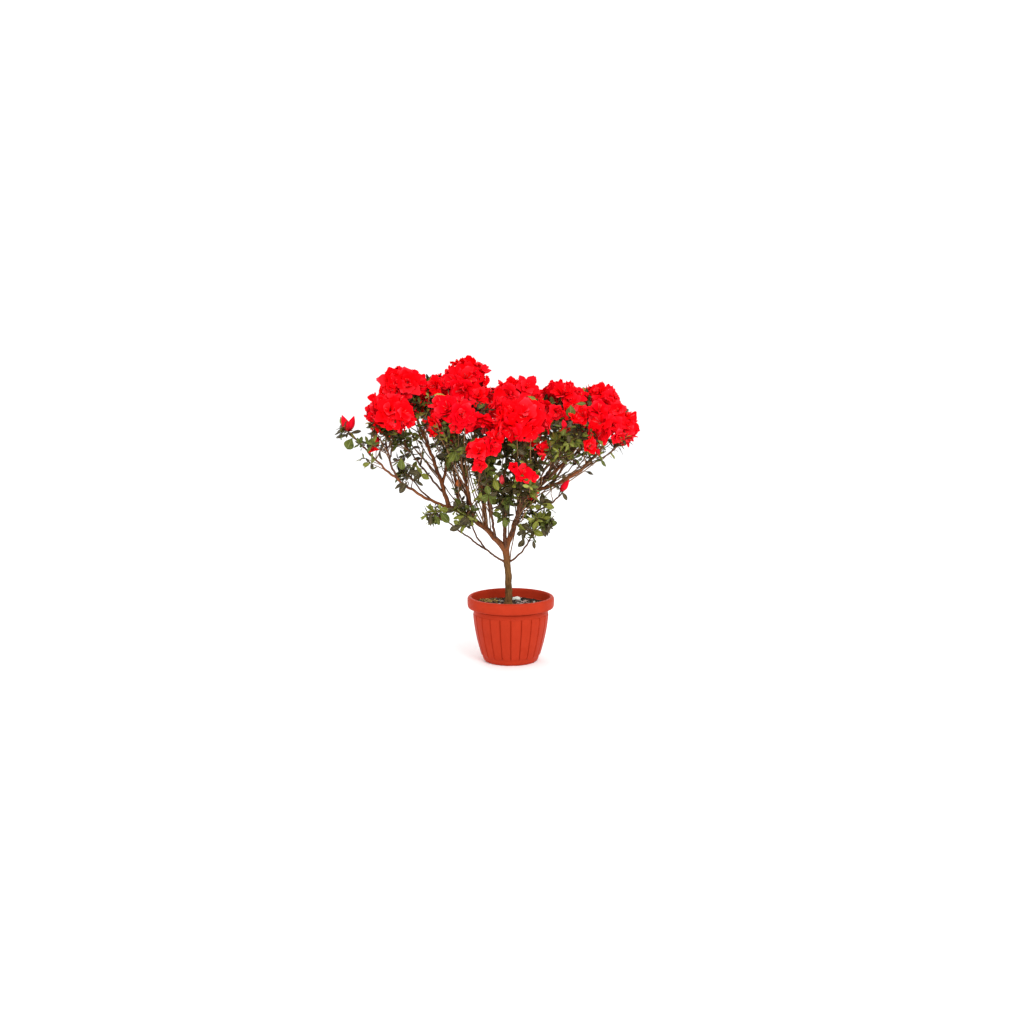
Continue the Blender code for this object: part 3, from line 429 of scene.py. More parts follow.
# Places on the upright plane through the trunk, as the photograph sees it: X, Z and how wide. No flower is
# put where the sky shows down between the heads, and the front shoots of the leafy places are in leaf only.
SKY_PLACES = ((-0.045, 0.572, 0.023), (0.065, 0.555, 0.022))
LEAFY_PLACES = (
    (0.092, 0.470, 0.020), (0.115, 0.502, 0.014), (0.126, 0.469, 0.034), (-0.181, 0.516, 0.018),
    (-0.031, 0.419, 0.015), (0.027, 0.438, 0.013), (0.034, 0.387, 0.033), (-0.006, 0.450, 0.014),
    (-0.069, 0.399, 0.012), (-0.100, 0.457, 0.016), (-0.087, 0.423, 0.014),
)
LEAFY_FRONT = -0.05

# Shoots that stand apart in the photograph, by what they carry: foot and top, tone, how many leaves, and how
# wide the blade is, how far the petals are open or how long the leaves are. Their masses' own are left out.
SINGLES = {
    "bud": (
        ((-0.327, -0.040, 0.479), (-0.338, -0.042, 0.513), 0, 6, 1.0),
        ((-0.326, -0.040, 0.480), (-0.314, -0.040, 0.511), 0, 3, 1.0),
        ((-0.267, -0.080, 0.498), (-0.284, -0.080, 0.514), 0, 4, 1.0),
        ((-0.265, -0.060, 0.452), (-0.273, -0.060, 0.478), 0, 3, 1.0),
        ((0.100, -0.050, 0.360), (0.118, -0.050, 0.383), 0, 2, 1.0),
        ((0.170, -0.070, 0.453), (0.177, -0.070, 0.430), 0, 2, 0.8),
        ((-0.017, -0.110, 0.382), (-0.019, -0.110, 0.403), 2, 3, 1.1),
        ((-0.104, -0.030, 0.366), (-0.106, -0.034, 0.384), 3, 3, 1.5),
    ),
    "leaf": (
        ((-0.318, -0.045, 0.467), (-0.331, -0.045, 0.441), "green", 0, 1.5),
        ((-0.327, -0.038, 0.474), (-0.352, -0.036, 0.466), "dark", 0, 0.7),
        ((-0.322, -0.040, 0.476), (-0.300, -0.044, 0.482), "dark", 0, 0.8),
        ((0.102, -0.050, 0.359), (0.117, -0.050, 0.340), "dark", 0, 0.9),
        ((0.086, -0.050, 0.377), (0.099, -0.050, 0.364), "dark", 0, 0.7),
        ((0.173, -0.080, 0.466), (0.190, -0.080, 0.453), "dark", 0, 1.2),
        ((-0.160, -0.060, 0.549), (-0.126, -0.062, 0.556), "young", 0, 1.3),
        ((0.118, -0.100, 0.538), (0.118, -0.102, 0.511), "green", 0, 1.4),
        ((0.128, -0.090, 0.538), (0.149, -0.092, 0.541), "green", 0, 1.2),
        ((-0.220, -0.050, 0.428), (-0.221, -0.050, 0.400), "green", 0, 1.5),
        ((0.034, -0.060, 0.552), (0.052, -0.062, 0.545), "olive", 0, 1.2),
        ((0.028, -0.030, 0.262), (0.017, -0.030, 0.238), "green", 0, 1.6),
        ((0.045, -0.030, 0.257), (0.049, -0.030, 0.238), "dark", 0, 0.9),
        ((0.036, -0.040, 0.282), (0.014, -0.040, 0.279), "dark", 0, 1.1),
        ((0.070, -0.030, 0.292), (0.088, -0.030, 0.277), "dark", 0, 0.6),
        ((-0.012, -0.070, 0.310), (-0.011, -0.070, 0.287), "green", 0, 1.7),
        ((-0.113, -0.050, 0.347), (-0.099, -0.050, 0.328), "green", 0, 1.5),
        ((-0.209, -0.030, 0.377), (-0.229, -0.030, 0.351), "dark", 0, 0.8),
        ((-0.215, -0.030, 0.377), (-0.236, -0.030, 0.362), "dark", 0, 0.7),
        ((-0.195, -0.030, 0.382), (-0.178, -0.030, 0.366), "dark", 0, 0.9),
        ((-0.163, -0.050, 0.317), (-0.162, -0.050, 0.288), "olive", 0, 1.0),
        ((-0.155, -0.050, 0.314), (-0.140, -0.050, 0.289), "green", 0, 0.8),
        ((-0.142, -0.050, 0.318), (-0.124, -0.050, 0.295), "green", 0, 1.7),
        ((-0.145, -0.050, 0.326), (-0.124, -0.050, 0.318), "olive", 0, 1.4),
        ((-0.117, -0.040, 0.338), (-0.097, -0.050, 0.322), "green", 0, 1.6),
        ((-0.077, -0.080, 0.316), (-0.103, -0.080, 0.296), "olive", 0, 1.5),
    ),
    "bloom": (
        ((-0.264, -0.052, 0.444), (-0.280, -0.062, 0.451), "scarlet", 3, 0.40),
        ((0.150, -0.066, 0.452), (0.160, -0.088, 0.460), "scarlet", 2, 0.60),
        ((0.062, -0.120, 0.430), (0.063, -0.130, 0.462), "bright", 2, 0.45),
        ((0.038, -0.080, 0.366), (0.046, -0.090, 0.351), "crimson", 2, 0.55),
    ),
    "stem": (
        ((-0.167, -0.050, 0.519), (-0.163, -0.060, 0.550), "green", 5, 1.0),
    ),
    "spray": (
        ((0.056, -0.030, 0.329), (0.064, -0.030, 0.342), "olive", 5, 0.9),
        ((0.046, -0.030, 0.305), (0.042, -0.030, 0.315), "green", 5, 0.9),
        ((0.041, -0.040, 0.294), (0.029, -0.040, 0.304), "dark", 5, 0.9),
        ((0.051, -0.030, 0.273), (0.045, -0.030, 0.263), "green", 5, 0.8),
        ((0.039, -0.030, 0.280), (0.025, -0.030, 0.279), "dark", 5, 0.8),
        ((0.060, -0.030, 0.290), (0.071, -0.030, 0.287), "dark", 4, 0.8),
        ((0.051, -0.050, 0.296), (0.054, -0.050, 0.307), "olive", 5, 0.9),
        ((-0.018, -0.080, 0.341), (-0.014, -0.080, 0.350), "green", 5, 1.1),
        ((-0.018, -0.060, 0.409), (-0.022, -0.070, 0.427), "dark", 6, 1.1),
        ((-0.004, -0.070, 0.429), (-0.004, -0.080, 0.445), "green", 6, 1.1),
        ((-0.050, -0.100, 0.507), (-0.053, -0.110, 0.492), "dark", 5, 1.0),
        ((0.089, -0.080, 0.463), (0.088, -0.100, 0.484), "dark", 5, 1.0),
        ((-0.080, -0.070, 0.325), (-0.089, -0.080, 0.314), "olive", 6, 1.1),
        ((-0.023, -0.100, 0.386), (-0.034, -0.120, 0.395), "olive", 6, 1.0),
        ((-0.051, -0.090, 0.366), (-0.043, -0.110, 0.359), "green", 6, 1.0),
        ((-0.116, -0.100, 0.461), (-0.109, -0.120, 0.449), "green", 6, 1.0),
        ((-0.066, -0.080, 0.484), (-0.063, -0.100, 0.477), "dark", 6, 1.0),
        ((-0.013, -0.080, 0.453), (-0.011, -0.100, 0.466), "dark", 6, 1.0),
        ((0.068, -0.080, 0.463), (0.067, -0.100, 0.477), "dark", 6, 1.0),
        ((0.036, -0.060, 0.433), (0.037, -0.080, 0.446), "green", 6, 1.1),
        ((0.015, -0.070, 0.439), (0.017, -0.090, 0.453), "dark", 6, 1.1),
        ((-0.034, -0.080, 0.406), (-0.035, -0.100, 0.420), "green", 6, 1.0),
        ((-0.010, -0.060, 0.419), (-0.011, -0.080, 0.434), "dark", 6, 1.0),
        ((0.057, -0.050, 0.432), (0.055, -0.070, 0.420), "green", 6, 1.0),
        ((0.049, -0.050, 0.271), (0.044, -0.060, 0.281), "olive", 6, 1.0),
        ((0.056, -0.040, 0.320), (0.061, -0.050, 0.333), "olive", 7, 1.1),
        ((0.036, -0.040, 0.282), (0.030, -0.050, 0.280), "dark", 5, 0.9),
    ),
}
BY_HAND = {"left_tip": ("bud", "spray"), "right_bud": ("bud", "spray"), "inner_centre": ("bud",)}

# The camera stands where the photograph's did. A light has a name, a place, a size and a strength.
CAMERA_PLACE = (0.0025, -3.0, 0.75)
CAMERA_PITCH_DEG = 81.66
CAMERA_LENS = 51.96
WORLD_STRENGTH = 1.15
LIGHT_AIM = (0.0, 0.0, 0.30)
LIGHT_ROWS = (
    ("key_light", (0.9, -2.2, 2.0), 1.3, 39.0),
    ("fill_light", (-1.9, -1.6, 1.1), 1.6, 2.0),
    ("rim_light", (-0.6, 1.9, 1.8), 1.2, 10.0),
)


# Joined meshes


def grid_faces(rows, columns, closed=False):
    """Faces of a grid of points laid out row by row. A closed grid joins its last column to its first."""
    row = np.arange(rows - 1)[:, None] * columns
    column = np.arange(columns if closed else columns - 1)[None, :]
    after = (column + 1) % columns
    corners = (row + column, row + after, row + columns + after, row + columns + column)
    return np.stack(corners, axis=-1).reshape(-1, 4)


def closed_shape(points, places, inside_out=False):
    """A closed surface through rings of an even number of points, capped at both ends, for a sheaf."""
    rows, columns = points.shape[:2]
    cap = np.array([(0, i + 1, i + 2, i + 3) for i in range(0, columns - 2, 2)])
    faces = np.concatenate((grid_faces(rows, columns, True), cap[:, ::-1], cap + (rows - 1) * columns))
    return points.reshape(-1, 3), faces[:, ::-1] if inside_out else faces, places.reshape(-1, 2)


def ring_points(radii, angles, heights):
    """Points round the vertical, a ring for each row of radii and heights."""
    return np.stack((radii * np.cos(angles), radii * np.sin(angles), heights + 0.0 * radii), axis=-1)


def map_places(across, along):
    return np.stack(np.broadcast_arrays(across[None, :], along[:, None]), axis=-1)


def lengths_along(path):
    """How far along the path each of its points lies."""
    return np.cumsum(np.linalg.norm(np.diff(path, axis=0, prepend=path[:1]), axis=1))


class Sheaf:
    """Points, faces, map places and material numbers of many shapes that become one piece."""

    def __init__(self):
        self.shapes, self.count = [], 0

    def add(self, points, faces, places, slot=0):
        self.shapes.append((points, faces + self.count, places, np.full(len(faces), slot)))
        self.count += len(points)

    def make(self, name, materials, smooth=True):
        points, faces, places, slots = map(np.concatenate, zip(*self.shapes))
        mesh = bpy.data.meshes.new(name)
        mesh.vertices.add(len(points))
        mesh.vertices.foreach_set("co", points.astype(np.float32).ravel())
        mesh.loops.add(faces.size)
        mesh.loops.foreach_set("vertex_index", faces.astype(np.int32).ravel())
        mesh.polygons.add(len(faces))
        mesh.polygons.foreach_set("loop_start", np.arange(0, faces.size, 4, dtype=np.int32))
        mesh.polygons.foreach_set("material_index", slots.astype(np.int32))
        mesh.polygons.foreach_set("use_smooth", np.full(len(faces), smooth))
        layer = mesh.uv_layers.new(name="grain")
        layer.data.foreach_set("uv", places[faces.ravel()].astype(np.float32).ravel())
        mesh.update(calc_edges=True)
        mesh.validate()
        for material in materials:
            mesh.materials.append(material)
        obj = bpy.data.objects.new(name, mesh)
        bpy.context.scene.collection.objects.link(obj)
        return obj


def place_piece(obj, slot, *nodes):
    """The piece stands on the plant's one body and stands for these nodes. Its slot is not used."""
    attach(obj, "root")
    if nodes:
        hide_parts(*nodes)


# What grows: the foliage's pieces, the limbs' courses, the masses' stems and where flowers have their faces
TWIGS, BUDS = Sheaf(), Sheaf()
LEAVES = {tint: Sheaf() for tint in LEAF_TONES}
BLOOMS = {red: Sheaf() for red in PETAL_TONES}
COURSES, STEMS, FACES = {}, {}, []


# Materials


class Recipe:
    """A material's nodes, with short calls that add and join them."""

    def __init__(self, name, **finish):
        self.material = bpy.data.materials.new(name)
        self.material.use_nodes = True
        self.tree = self.material.node_tree
        self.finish(**finish)

    def feed(self, socket, value):
        """Joins a source to a socket, or sets a number, a vector or a colour on it."""
        if isinstance(value, bpy.types.NodeSocket):
            self.tree.links.new(value, socket)
        else:
            socket.default_value = (*value, 1.0) if socket.type == "RGBA" else value

    def finish(self, **sources):
        """Feeds the shader's sockets, whose names are written with underscores."""
        for name, source in sources.items():
            self.feed(self.tree.nodes["Principled BSDF"].inputs[name.replace("_", " ")], source)

    def node(self, kind, inputs=(), **settings):
        """A node with its settings and what its sockets hold."""
        made = self.tree.nodes.new("ShaderNode" + kind)
        for key, value in settings.items():
            setattr(made, key, value)
        for socket, value in dict(inputs).items():
            self.feed(made.inputs[socket], value)
        return made

    def place(self):
        return self.node("TexCoord").outputs["Object"]

    def grain(self):
        return self.node("UVMap", uv_map="grain").outputs["UV"]

    def parts(self, source):
        return self.node("SeparateXYZ", {"Vector": source}).outputs

    def blade(self, grain):
        """How far along a blade a point lies, and how far off its middle line."""
        across, along = self.parts(grain)[:2]
        return along, self.maths("ABSOLUTE", self.maths("SUBTRACT", across, 0.5))

    def stretched(self, place, scale):
        return self.node("Mapping", {"Vector": place, "Scale": scale}).outputs["Vector"]

    def noise(self, place, scale, detail=4.0, roughness=0.55):
        inputs = {"Vector": place, "Scale": scale, "Detail": detail, "Roughness": roughness}
        return self.node("TexNoise", inputs).outputs["Fac"]

    def maths(self, operation, first, second=0.0):
        """A sum of one or two numbers or sockets."""
        return self.node("Math", {0: first, 1: second}, operation=operation).outputs[0]

    def ramp(self, factor, *stops):
        """A colour that follows a number: each stop is a place and a colour."""
        made = self.node("ValToRGB", {"Fac": factor})
        elements = made.color_ramp.elements
        for _ in stops[2:]:
            elements.new(0.5)
        for element, (place, colour) in zip(elements, stops):
            element.position = place
            element.color = (*colour, 1.0)
        return made.outputs["Color"]

    def levels(self, factor, low, high, start, end):
        """A number spread from start to end as the factor goes from low to high."""
        inputs = {"Value": factor, "From Min": low, "From Max": high, "To Min": start, "To Max": end}
        return self.node("MapRange", inputs).outputs["Result"]

    def mix(self, factor, first, second):
        """Two colours mixed by a number or a socket."""
        return self.node("Mix", {"Factor": factor, 6: first, 7: second}, data_type="RGBA").outputs[2]

    def bump(self, height, distance, strength=1.0):
        inputs = {"Height": height, "Distance": distance, "Strength": strength}
        self.finish(Normal=self.node("Bump", inputs).outputs["Normal"])


def pot_plastic():
    """Terracotta-red moulded plastic: faint mottling, fine scuffs and a little dust."""
    look = Recipe("terracotta_plastic_detail", Specular_IOR_Level=0.03)
    place = look.place()
    mottle = look.noise(place, 38.0, 5.0)
    scuffs = look.noise(look.stretched(place, (60.0, 60.0, 420.0)), 6.0, 3.0)
    dust = look.noise(place, 210.0, 6.0, 0.7)
    base = look.ramp(mottle, (0.30, (0.400, 0.030, 0.010)), (0.70, (0.450, 0.036, 0.013)))
    worn = look.mix(look.levels(scuffs, 0.62, 0.80, 0.0, 0.30), base, (0.50, 0.060, 0.028))
    dusty = look.mix(look.levels(dust, 0.60, 0.82, 0.0, 0.20), worn, (0.46, 0.080, 0.040))
    look.finish(Base_Color=dusty, Roughness=look.levels(mottle, 0.25, 0.75, 0.30, 0.46))
    look.bump(look.noise(place, 900.0, 3.0), 0.00012, 0.5)
    return look.material


def soil_earth():
    look = Recipe("soil_earth", Roughness=0.96, Specular_IOR_Level=0.2)
    place = look.place()
    clods = look.noise(place, 260.0, 8.0, 0.7)
    damp = look.levels(look.noise(place, 40.0, 3.0), 0.4, 0.7, 0.0, 0.5)
    dark = look.ramp(clods, (0.30, (0.008, 0.005, 0.003)), (0.72, (0.060, 0.036, 0.020)))
    look.finish(Base_Color=look.mix(damp, dark, (0.016, 0.010, 0.007)))
    look.bump(clods, 0.0012)
    return look.material


def speckled(name, dark, light, roughness, scale=420.0):
    """A dull material whose colour wanders between two tones."""
    look = Recipe(name, Roughness=roughness, Specular_IOR_Level=0.25)
    grain = look.noise(look.place(), scale, 5.0, 0.6)
    look.finish(Base_Color=look.ramp(grain, (0.32, dark), (0.68, light)))
    look.bump(grain, 0.0003)
    return look.material


def bark(name, dark, light, red, heights=None):
    """Fibrous bark: streaks along the limb, flakes, stains and, between two heights, a redder tone."""
    look = Recipe(name, Roughness=0.82, Specular_IOR_Level=0.14)
    place = look.place()
    streaks = look.noise(look.stretched(look.grain(), (420.0, 60.0, 1.0)), 1.0, 6.0, 0.65)
    flakes = look.noise(place, 330.0, 5.0, 0.6)
    patches = look.noise(place, 70.0, 3.0)
    stains = look.noise(place, 52.0, 2.0)
    if heights:
        wanders = look.maths("ADD", look.parts(place)["Z"], look.levels(patches, 0.3, 0.7, -0.012, 0.012))
        share = look.levels(wanders, *heights, 0.0, 0.9)
    else:
        share = look.levels(patches, 0.35, 0.65, 0.15, 0.85)
    reddish = look.mix(flakes, red, tuple(c * 0.45 for c in red))
    colour = look.mix(share, look.ramp(streaks, (0.28, dark), (0.72, light)), reddish)
    colour = look.mix(look.levels(stains, 0.50, 0.64, 0.0, 0.60), colour, dark)
    colour = look.mix(look.levels(flakes, 0.60, 0.78, 0.0, 0.35), colour, (0.27, 0.16, 0.08))
    look.finish(Base_Color=colour, Roughness=look.levels(flakes, 0.3, 0.7, 0.72, 0.92))
    look.bump(look.maths("ADD", streaks, flakes), 0.0005, 0.8)
    return look.material


def leaf_skin(name, dark, light, vein, roughness, shine=0.12):
    """A leaf: a pale midrib, side veins that slant to the tip, and a skin that wanders between two greens."""
    look = Recipe(name, Roughness=roughness, Specular_IOR_Level=shine)
    along, off_middle = look.blade(look.grain())
    slants = [look.maths("MULTIPLY", way, pitch) for way, pitch in ((along, 44.0), (off_middle, 40.0))]
    ribs = look.maths("SINE", look.maths("SUBTRACT", *slants))
    skin = look.ramp(look.noise(look.place(), 130.0, 4.0), (0.30, dark), (0.70, light))
    veined = look.mix(look.levels(ribs, 0.80, 1.0, 0.0, 0.30), skin, vein)
    look.finish(Base_Color=look.mix(look.levels(off_middle, 0.020, 0.055, 0.75, 0.0), veined, vein))
    midrib = look.levels(off_middle, 0.0, 0.05, -1.0, 0.0)
    look.bump(look.maths("ADD", midrib, look.maths("MULTIPLY", ribs, 0.3)), 0.0004, 0.6)
    return look.material


def petal_silk(name, throat_shade_and_vein, body, rim):
    """A petal: painted shade deep at its throat, saturated over the blade, a painted highlight a touch
    lighter at the rim and side edges, finely veined.
    """
    look = Recipe(name, Roughness=0.62, Specular_IOR_Level=0.02)
    grain = look.grain()
    along, off_middle = look.blade(grain)
    veins = look.noise(look.stretched(grain, (26.0, 2.2, 1.0)), 1.0, 3.0)
    wander = look.levels(look.noise(look.place(), 60.0, 3.0), 0.3, 0.7, -0.08, 0.08)
    place = look.maths("ADD", along, wander)
    # Painted shade at the throat and a painted highlight at the rim
    colour = look.ramp(place, (0.06, throat_shade_and_vein), (0.34, body), (0.84, body), (1.0, rim))
    # Painted highlight along the petal's side edges
    colour = look.mix(look.levels(off_middle, 0.40, 0.5, 0.0, 0.35), colour, rim)
    look.finish(Base_Color=look.mix(look.levels(veins, 0.58, 0.75, 0.0, 0.25), colour, throat_shade_and_vein))
    look.bump(veins, 0.0004, 0.4)
    return look.material


# Pot


def body_radius(height):
    """Radius of the pot's convex body: near vertical under the collar, drawing in towards the foot."""
    span = POT_HEIGHT - COLLAR_HEIGHT - BASE_BAND
    share = min(1.0, max(0.0, (height - BASE_BAND) / span))
    return BODY_BASE_RADIUS + (BODY_TOP_RADIUS - BODY_BASE_RADIUS) * (1.0 - (1.0 - share) ** BODY_CURVE)


def rounded(corners, steps=5):
    """A profile with its corners rounded: each is a radius, a height and how far back its rounding starts."""
    profile = [np.array(corners[0][:2])]
    for before, (radius, height, back), after in zip(corners, corners[1:], corners[2:]):
        here = np.array((radius, height))
        if not back:
            profile.append(here)
            continue
        ways = [np.array(other[:2]) - here for other in (before, after)]
        start, end = (here + way / np.linalg.norm(way) * back for way in ways)
        for t in np.linspace(0.0, 1.0, steps):
            profile.append((1.0 - t) ** 2 * start + 2.0 * t * (1.0 - t) * here + t * t * end)
    return profile + [np.array(corners[-1][:2])]


def pot_profile():
    """The pot's outline from the middle of its underside, up the outside and down to its floor's middle."""
    collar_foot = POT_HEIGHT - COLLAR_HEIGHT
    heights = list(np.linspace(BASE_BAND + 0.0005, collar_foot - 0.0044, 36))
    heights = [h for h in heights if not PANEL_TOP - 0.0010 < h < PANEL_TOP + TOP_LEDGE + 0.0010]
    heights += list(np.linspace(PANEL_TOP - 0.0006, PANEL_TOP + TOP_LEDGE + 0.0006, 7))
    corners = [
        (0.0004, 0.0010, 0.0),
        (FOOT_RADIUS - 0.0070, 0.0010, 0.0004),
        (FOOT_RADIUS - 0.0060, 0.0, 0.0004),
        (FOOT_RADIUS + 0.0014, 0.0, 0.0012),
        (BODY_BASE_RADIUS - 0.0010, BASE_BAND * 0.55, 0.0016),
        (BODY_BASE_RADIUS, BASE_BAND, 0.0),
        *((body_radius(h), h, 0.0) for h in sorted(heights)),
        (BODY_TOP_RADIUS, collar_foot - 0.0038, 0.0003),
        (BODY_TOP_RADIUS - SHADOW_GROOVE, collar_foot - 0.0032, 0.0003),
        (BODY_TOP_RADIUS - SHADOW_GROOVE, collar_foot + GAP, 0.0006),
        (COLLAR_RADIUS - COLLAR_INSET * 0.55, collar_foot, 0.0014),
        (COLLAR_RADIUS - 0.0003, collar_foot + COLLAR_HEIGHT * 0.20, 0.0018),
        (COLLAR_RADIUS, collar_foot + COLLAR_HEIGHT * 0.60, 0.0030),
        (COLLAR_RADIUS - COLLAR_ROUND * 0.05, POT_HEIGHT - COLLAR_ROUND * 0.75, 0.0022),
        (COLLAR_RADIUS - COLLAR_ROUND * 0.75, POT_HEIGHT, 0.0022),
        (COLLAR_MOUTH_RADIUS + 0.0010, POT_HEIGHT, 0.0010),
        (COLLAR_MOUTH_RADIUS, POT_HEIGHT - COLLAR_ROUND, 0.0014),
        (COLLAR_MOUTH_RADIUS, SOIL_LEVEL - 0.0030, 0.0010),
        (BODY_TOP_RADIUS - POT_WALL, collar_foot - 0.0020, 0.0010),
        *((body_radius(h) - POT_WALL, h, 0.0) for h in np.linspace(collar_foot - 0.006, POT_FLOOR, 6)),
        (0.0004, POT_FLOOR, 0.0),
    ]
    return rounded(corners)


def flute_columns():
    """Angles round the pot, close together at each groove, and how deep in a groove each one is."""
    pitch = math.tau / FLUTES
    half = GROOVE_SLIMNESS * GROOVE_HALF_WIDTH / BODY_TOP_RADIUS
    near = [half * share for share in (-1.8, -1.35, -1.05, -0.7, -0.35, 0.0, 0.35, 0.7, 1.05, 1.35, 1.8)]
    offsets = near + list(np.linspace(1.8 * half, pitch - 1.8 * half, 5)[1:-1])
    angles = np.array([-math.pi / 2.0 + pitch * k + offset for k in range(FLUTES) for offset in offsets])
    depth = [max(0.0, 1.0 - (abs(offset) / (1.1 * half)) ** 2) ** 1.5 for offset in offsets]
    bead = [-BEAD_SHARE * max(0.0, 1.0 - ((abs(offset) / half - 1.35) / 0.35) ** 2) for offset in offsets]
    return angles, np.array([a + b for a, b in zip(depth, bead)] * FLUTES)


def make_pot():
    profile = np.array(pot_profile())
    angles, depth = flute_columns()
    radius, height = profile[:, :1], profile[:, 1:]
    outside = (radius > body_radius(0.0) - 0.001) & (np.arange(len(profile))[:, None] < np.argmax(height))
    rise = np.clip((height - BASE_BAND) / PANEL_LEDGE, 0.0, 1.0)
    fall = np.clip((PANEL_TOP - height) / TOP_LEDGE + 1.0, 0.0, 1.0)
    share = np.where(outside, rise * fall, 0.0)
    radii = radius + FLUTE_DEPTH * share * (1.0 - 2.0 * GROOVE_SHARE * depth[None, :])
    places = map_places(angles * BODY_TOP_RADIUS, lengths_along(profile))
    sheaf = Sheaf()
    sheaf.add(*closed_shape(ring_points(radii, angles, height), places))
    pot = sheaf.make("pot_shell", [pot_plastic()])
    pot.data.set_sharp_from_angle(angle=math.radians(50.0))
    place_piece(pot, "terracotta_plastic", "pot")


# Soil


def soil_height(x, y):
    """The soil's surface: a low mound with clods and hollows."""
    mound = SOIL_MOUND * min(1.0, (x * x + y * y) / SOIL_RADIUS**2)
    clods = noise.noise(Vector((x * 95.0, y * 95.0, 0.4))) * 0.0016
    grit = noise.noise(Vector((x * 420.0, y * 420.0, 7.1))) * 0.0008
    heap = 0.0036 * math.exp(-((x - HEAP_PLACE[0]) ** 2 + (y - HEAP_PLACE[1]) ** 2) / 0.016**2)
    return SOIL_LEVEL - mound + heap + clods + grit - 0.0004


def make_soil():
    """The soil fills the pot, with a rough top."""
    angles = np.linspace(0.0, math.tau, SOIL_SIDES, endpoint=False)
    turns = [(math.cos(a), math.sin(a)) for a in angles]
    top = [
        [(radius * c, radius * s, soil_height(radius * c, radius * s)) for c, s in turns]
        for radius in np.linspace(0.0006, SOIL_RADIUS, SOIL_RINGS)
    ]
    below = (
        (COLLAR_MOUTH_RADIUS - 0.0006, SOIL_LEVEL - 0.0045),
        (BODY_TOP_RADIUS - POT_WALL - 0.0004, POT_HEIGHT - COLLAR_HEIGHT - 0.0022),
        (body_radius(0.050) - POT_WALL - 0.0004, 0.050),
        (body_radius(POT_FLOOR) - POT_WALL - 0.0006, POT_FLOOR + GAP),
        (0.0006, POT_FLOOR + GAP),
    )
    sides = [[(radius * c, radius * s, height) for c, s in turns] for radius, height in below]
    points = np.array(top + sides)
    sheaf = Sheaf()
    sheaf.add(*closed_shape(points, points[..., :2], inside_out=True))
    place_piece(sheaf.make("soil_fill", [soil_earth()]), "soil", "soil")


def any_turn(rng):
    return rng.uniform(0.0, math.tau)


def turned(rng, tilt):
    """A random turn about the vertical with a small tilt, as a matrix."""
    spin = Quaternion(UP, any_turn(rng))
    way = Vector((rng.uniform(-1, 1), rng.uniform(-1, 1), 0.01)).normalized()
    return np.array((Quaternion(way, rng.uniform(-tilt, tilt)) @ spin).to_matrix())


def add_chip(sheaf, rng, x, y, size, slot):
    """A flat, irregular chip that lies on the soil."""
    half = np.array([size * rng.uniform(*span) for span in ((0.6, 1.3), (0.3, 0.7), (0.12, 0.30))])
    jitter = np.array([[rng.uniform(0.55, 1.0) for _ in range(3)] for _ in range(8)])
    points = (CUBE_CORNERS * jitter * half) @ turned(rng, 0.55).T
    points += (x, y, soil_height(x, y) + half[2] * 0.6)
    sheaf.add(points, CUBE_FACES, points[:, :2], slot)


def on_soil(rng):
    """A random place on the soil, clear of the trunk."""
    while True:
        radius, angle = SOIL_RADIUS * math.sqrt(rng.uniform(0.0, 0.94 * 0.94)), any_turn(rng)
        x, y = radius * math.cos(angle), radius * math.sin(angle)
        if math.hypot(x - TRUNK_FOOT[0], y - TRUNK_FOOT[1]) > FLARE_RADIUS + 0.003:
            return x, y


def make_soil_litter():
    """Chips of bark and peat, dry tan bits, most of them on the left, and a little pale grit."""
    rng = random.Random("litter")
    sheaf = Sheaf()
    for _ in range(1500):
        add_chip(sheaf, rng, *on_soil(rng), rng.uniform(0.0009, 0.0030), rng.choice((0, 0, 0, 1)))
    for _ in range(150):
        add_chip(sheaf, rng, *on_soil(rng), rng.uniform(0.0008, 0.0018), 2)
    for _ in range(95):
        x, y = rng.gauss(HEAP_PLACE[0] + 0.006, 0.015), rng.gauss(HEAP_PLACE[1], 0.016)
        if math.hypot(x, y) < SOIL_RADIUS * 0.95:
            add_chip(sheaf, rng, x, y, rng.uniform(0.0014, 0.0042), rng.choice((2, 2, 3)))
    for _ in range(60):
        add_chip(sheaf, rng, *on_soil(rng), rng.uniform(0.0006, 0.0015), 4)
    materials = [
        speckled("peat_chips", (0.006, 0.004, 0.003), (0.040, 0.022, 0.013), 0.9),
        speckled("bark_chips", (0.040, 0.018, 0.010), (0.120, 0.055, 0.028), 0.85),
        speckled("dry_bits", (0.16, 0.090, 0.016), (0.36, 0.23, 0.050), 0.8),
        speckled("straw_bits", (0.34, 0.24, 0.040), (0.54, 0.42, 0.11), 0.75),
        speckled("pale_grit", (0.55, 0.54, 0.50), (0.82, 0.81, 0.77), 0.8),
    ]
    place_piece(sheaf.make("soil_litter", materials, smooth=False), "soil")


def add_stone(sheaf, x, y, half, slot, seed):
    """A rounded stone, half sunk in the soil."""
    points = np.empty((*STONE_GRID, 3))
    for i, k in np.ndindex(*STONE_GRID):
        polar, turn = math.pi * (i + 0.5) / STONE_GRID[0], math.tau * k / STONE_GRID[1]
        way = Vector((math.sin(polar) * math.cos(turn), math.sin(polar) * math.sin(turn), math.cos(polar)))
        lump = 1.0 + 0.20 * noise.noise(way * 1.6 + Vector((seed, 0.0, 0.0)))
        points[i, k] = [way[j] * lump * half[j] for j in range(3)]
    points += (x, y, soil_height(x, y) + half[2] * 0.35)
    sheaf.add(*closed_shape(points, points[..., :2], inside_out=True), slot)


